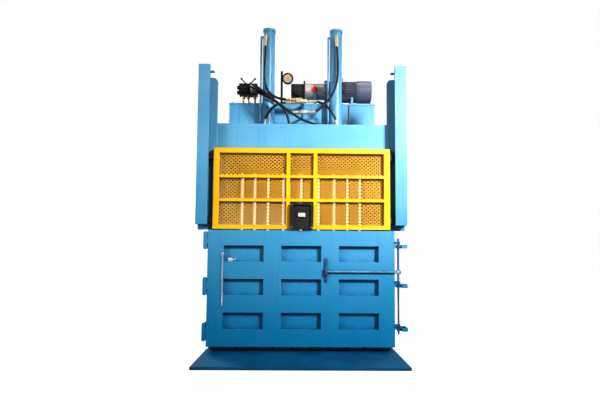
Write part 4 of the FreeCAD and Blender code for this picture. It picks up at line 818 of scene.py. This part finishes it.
frameBolts = []
for ramX in (-ramBolts["x"], ramBolts["x"]):
    frameBolts += boltCircle((ramX, ramBolts["y"], ramBolts["z"]), (0, 0, 1), ramBolts["radius"],
                             ramBolts["count"], *ramBolts["size"], math.pi / ramBolts["count"])
for lidX in np.linspace(-lidBolts["half"], lidBolts["half"], lidBolts["count"]):
    for lidY in lidBolts["y"]:
        frameBolts += hexBolt((lidX, lidY, lidBolts["z"]), (0, 0, 1), *lidBolts["size"])
makePiece("frame_bolts", frameBolts, "root", metals["brightSteel"])
motorBolts = boltCircle(onMotor(motor["front"]), (-1, 0, 0),
                        flangeBolts["radius"], flangeBolts["count"], *flangeBolts["size"],
                        math.pi / flangeBolts["count"])
for lidX in terminalBolts["x"]:
    for lidZ in terminalBolts["z"]:
        motorBolts += hexBolt((lidX, terminalBolts["y"], lidZ), outwards, *terminalBolts["size"])
makePiece("motor_bolts", motorBolts, "root", metals["darkSteel"])
pumpBolts = boltCircle((pump["x"], pump["cover"], pump["z"]), outwards, pump["radius"], pump["count"],
                       *pump["coverSize"])
for cornerX in pump["cornerX"]:
    for cornerZ in pump["cornerZ"]:
        pumpBolts += hexBolt((cornerX, pump["face"], cornerZ), outwards, *pump["cornerSize"])
makePiece("pump_bolts", pumpBolts, "root", paints["pumpIron"])
makePiece("pump_boss", [lathe(pump["boss"], (pump["x"], pump["cover"], pump["z"]), outwards, 24)]
          + [cutBlock(low, high, pump["cut"]) for low, high in pump["ribs"]],
          "root", paints["pumpIron"])
makePiece("latch_screws", [
    lathe(latchScrews["head"], (screwX, latchScrews["y"], screwZ), outwards, 12)
    for screwX in latchScrews["x"] for screwZ in latchScrews["z"]],
    "gate", metals["brightSteel"])
print("bolts made")


# weld beads where plates meet

weld = {
    "pitch": 0.0045, "ripple": 0.16, "step": 2.1, "radius": 0.0045,
    "lines": [
        ((-0.8325, -0.600, 1.960), (-0.8325, -0.600, 2.205)),
        ((0.8325, -0.600, 1.960), (0.8325, -0.600, 2.205)),
        ((-0.812, 0.040, 2.214), (0.812, 0.040, 2.214)),
        ((-0.812, 0.540, 2.214), (0.812, 0.540, 2.214)),
        ((-0.812, 0.040, 2.214), (-0.812, 0.540, 2.214)),
        ((0.812, 0.040, 2.214), (0.812, 0.540, 2.214)),
        ((-0.020, 0.040, 2.562), (0.020, 0.040, 2.562)),
        ((-0.014, 0.040, 2.434), (0.014, 0.040, 2.434))],
}


def weldBead(start, end):
    # radius(i) = bead radius * (1 + ripple * sin(i * step)), along a straight line
    start, end = np.array(start, float), np.array(end, float)
    count = int(np.linalg.norm(end - start) / weld["pitch"]) + 2
    path = start + (end - start) * np.linspace(0, 1, count)[:, None]
    ripple = 1 + weld["ripple"] * np.sin(np.arange(count) * weld["step"])
    normal = Vector(end - start).normalized().orthogonal().normalized()
    return bentBar(path, weld["radius"] * ripple, normal, 6)


makePiece("weld_beads", [weldBead(start, end) for start, end in weld["lines"]], "root",
          paints["blue"], (), 60)
print("welds made")


# stage: pale floor that curves up into a backdrop, and a white world

stage = {"floor": -0.0005, "half": 16.0, "front": -12.0, "bend": 7.0, "radius": 3.0, "high": 14.0,
         "bendSteps": 17, "white": 0.9, "albedo": 0.5, "rough": 0.8, "ambient": 0.17, "sky": 1.0}


def backdrop():
    # a profile along y: flat floor, a quarter circle, a wall; drawn out along x
    angles = np.linspace(0, math.pi / 2, stage["bendSteps"])
    bendY = stage["bend"] + stage["radius"] * np.sin(angles)
    bendZ = stage["radius"] * (1 - np.cos(angles))
    alongY = np.concatenate([[stage["front"]], bendY, [bendY[-1]]])
    upZ = np.concatenate([[0.0], bendZ, [stage["high"]]]) + stage["floor"]
    points = np.array([[side * stage["half"], y, z] for y, z in zip(alongY, upZ) for side in (-1, 1)])
    mesh = bpy.data.meshes.new("floor")
    mesh.from_pydata(points.tolist(), [], gridFaces(len(alongY), 2, False, False))
    mesh.shade_smooth()
    return bpy.data.objects.new("floor", mesh)


floor = backdrop()
bpy.context.collection.objects.link(floor)
floorMaterial, floorTree, floorShader, _ = startMaterial("paleFloor")
floorShader.inputs["Base Color"].default_value = (*[stage["albedo"]] * 3, 1)
floorShader.inputs["Roughness"].default_value = stage["rough"]
floorShader.inputs["Emission Color"].default_value = (1, 1, 1, 1)
seen = addNode(floorTree, "LightPath").outputs["Is Camera Ray"]
floorTree.links.new(multiply(floorTree, seen, stage["white"]), floorShader.inputs["Emission Strength"])
floor.data.materials.append(floorMaterial)

world = bpy.data.worlds.new("studio")
bpy.context.scene.world = world
world.use_nodes = True
worldSeen = addNode(world.node_tree, "LightPath").outputs["Is Camera Ray"]
world.node_tree.nodes["Background"].inputs["Color"].default_value = (1, 1, 1, 1)
world.node_tree.links.new(remap(world.node_tree, worldSeen, 0, 1, stage["ambient"], stage["sky"]),
                          world.node_tree.nodes["Background"].inputs["Strength"])


# disc lights, each turned to its target; the spread is in degrees

lights = {
    "keyLight": {"place": (4.77, -7.48, 4.98), "target": (0.85, -0.6, 1.85), "energy": 60, "size": 1.8,
                 "spread": 34},
    "leftFill": {"place": (-4.6, -4.2, 2.8), "target": (0.9, -0.6, 2.0), "energy": 22, "size": 1.6,
                 "spread": 60},
    "topLight": {"place": (1.2, -0.4, 6.5), "target": (0.3, 0.2, 2.6), "energy": 60, "size": 2.0,
                 "spread": 180},
    "rearLeft": {"place": (-5.0, 5.0, 5.0), "target": (0, 0, 1.6), "energy": 420, "size": 3.0,
                 "spread": 180},
    "rearRight": {"place": (5.0, 4.5, 3.5), "target": (0, 0, 1.4), "energy": 260, "size": 3.0,
                  "spread": 180},
}
for name, look in lights.items():
    light = bpy.data.lights.new(name, "AREA")
    light.energy, light.shape, light.size = look["energy"], "DISK", look["size"]
    light.spread = math.radians(look["spread"])
    lamp = bpy.data.objects.new(name, light)
    bpy.context.collection.objects.link(lamp)
    lamp.location = look["place"]
    way = Vector(look["target"]) - Vector(look["place"])
    lamp.rotation_euler = way.to_track_quat("-Z", "Y").to_euler()
print("stage and lights made")
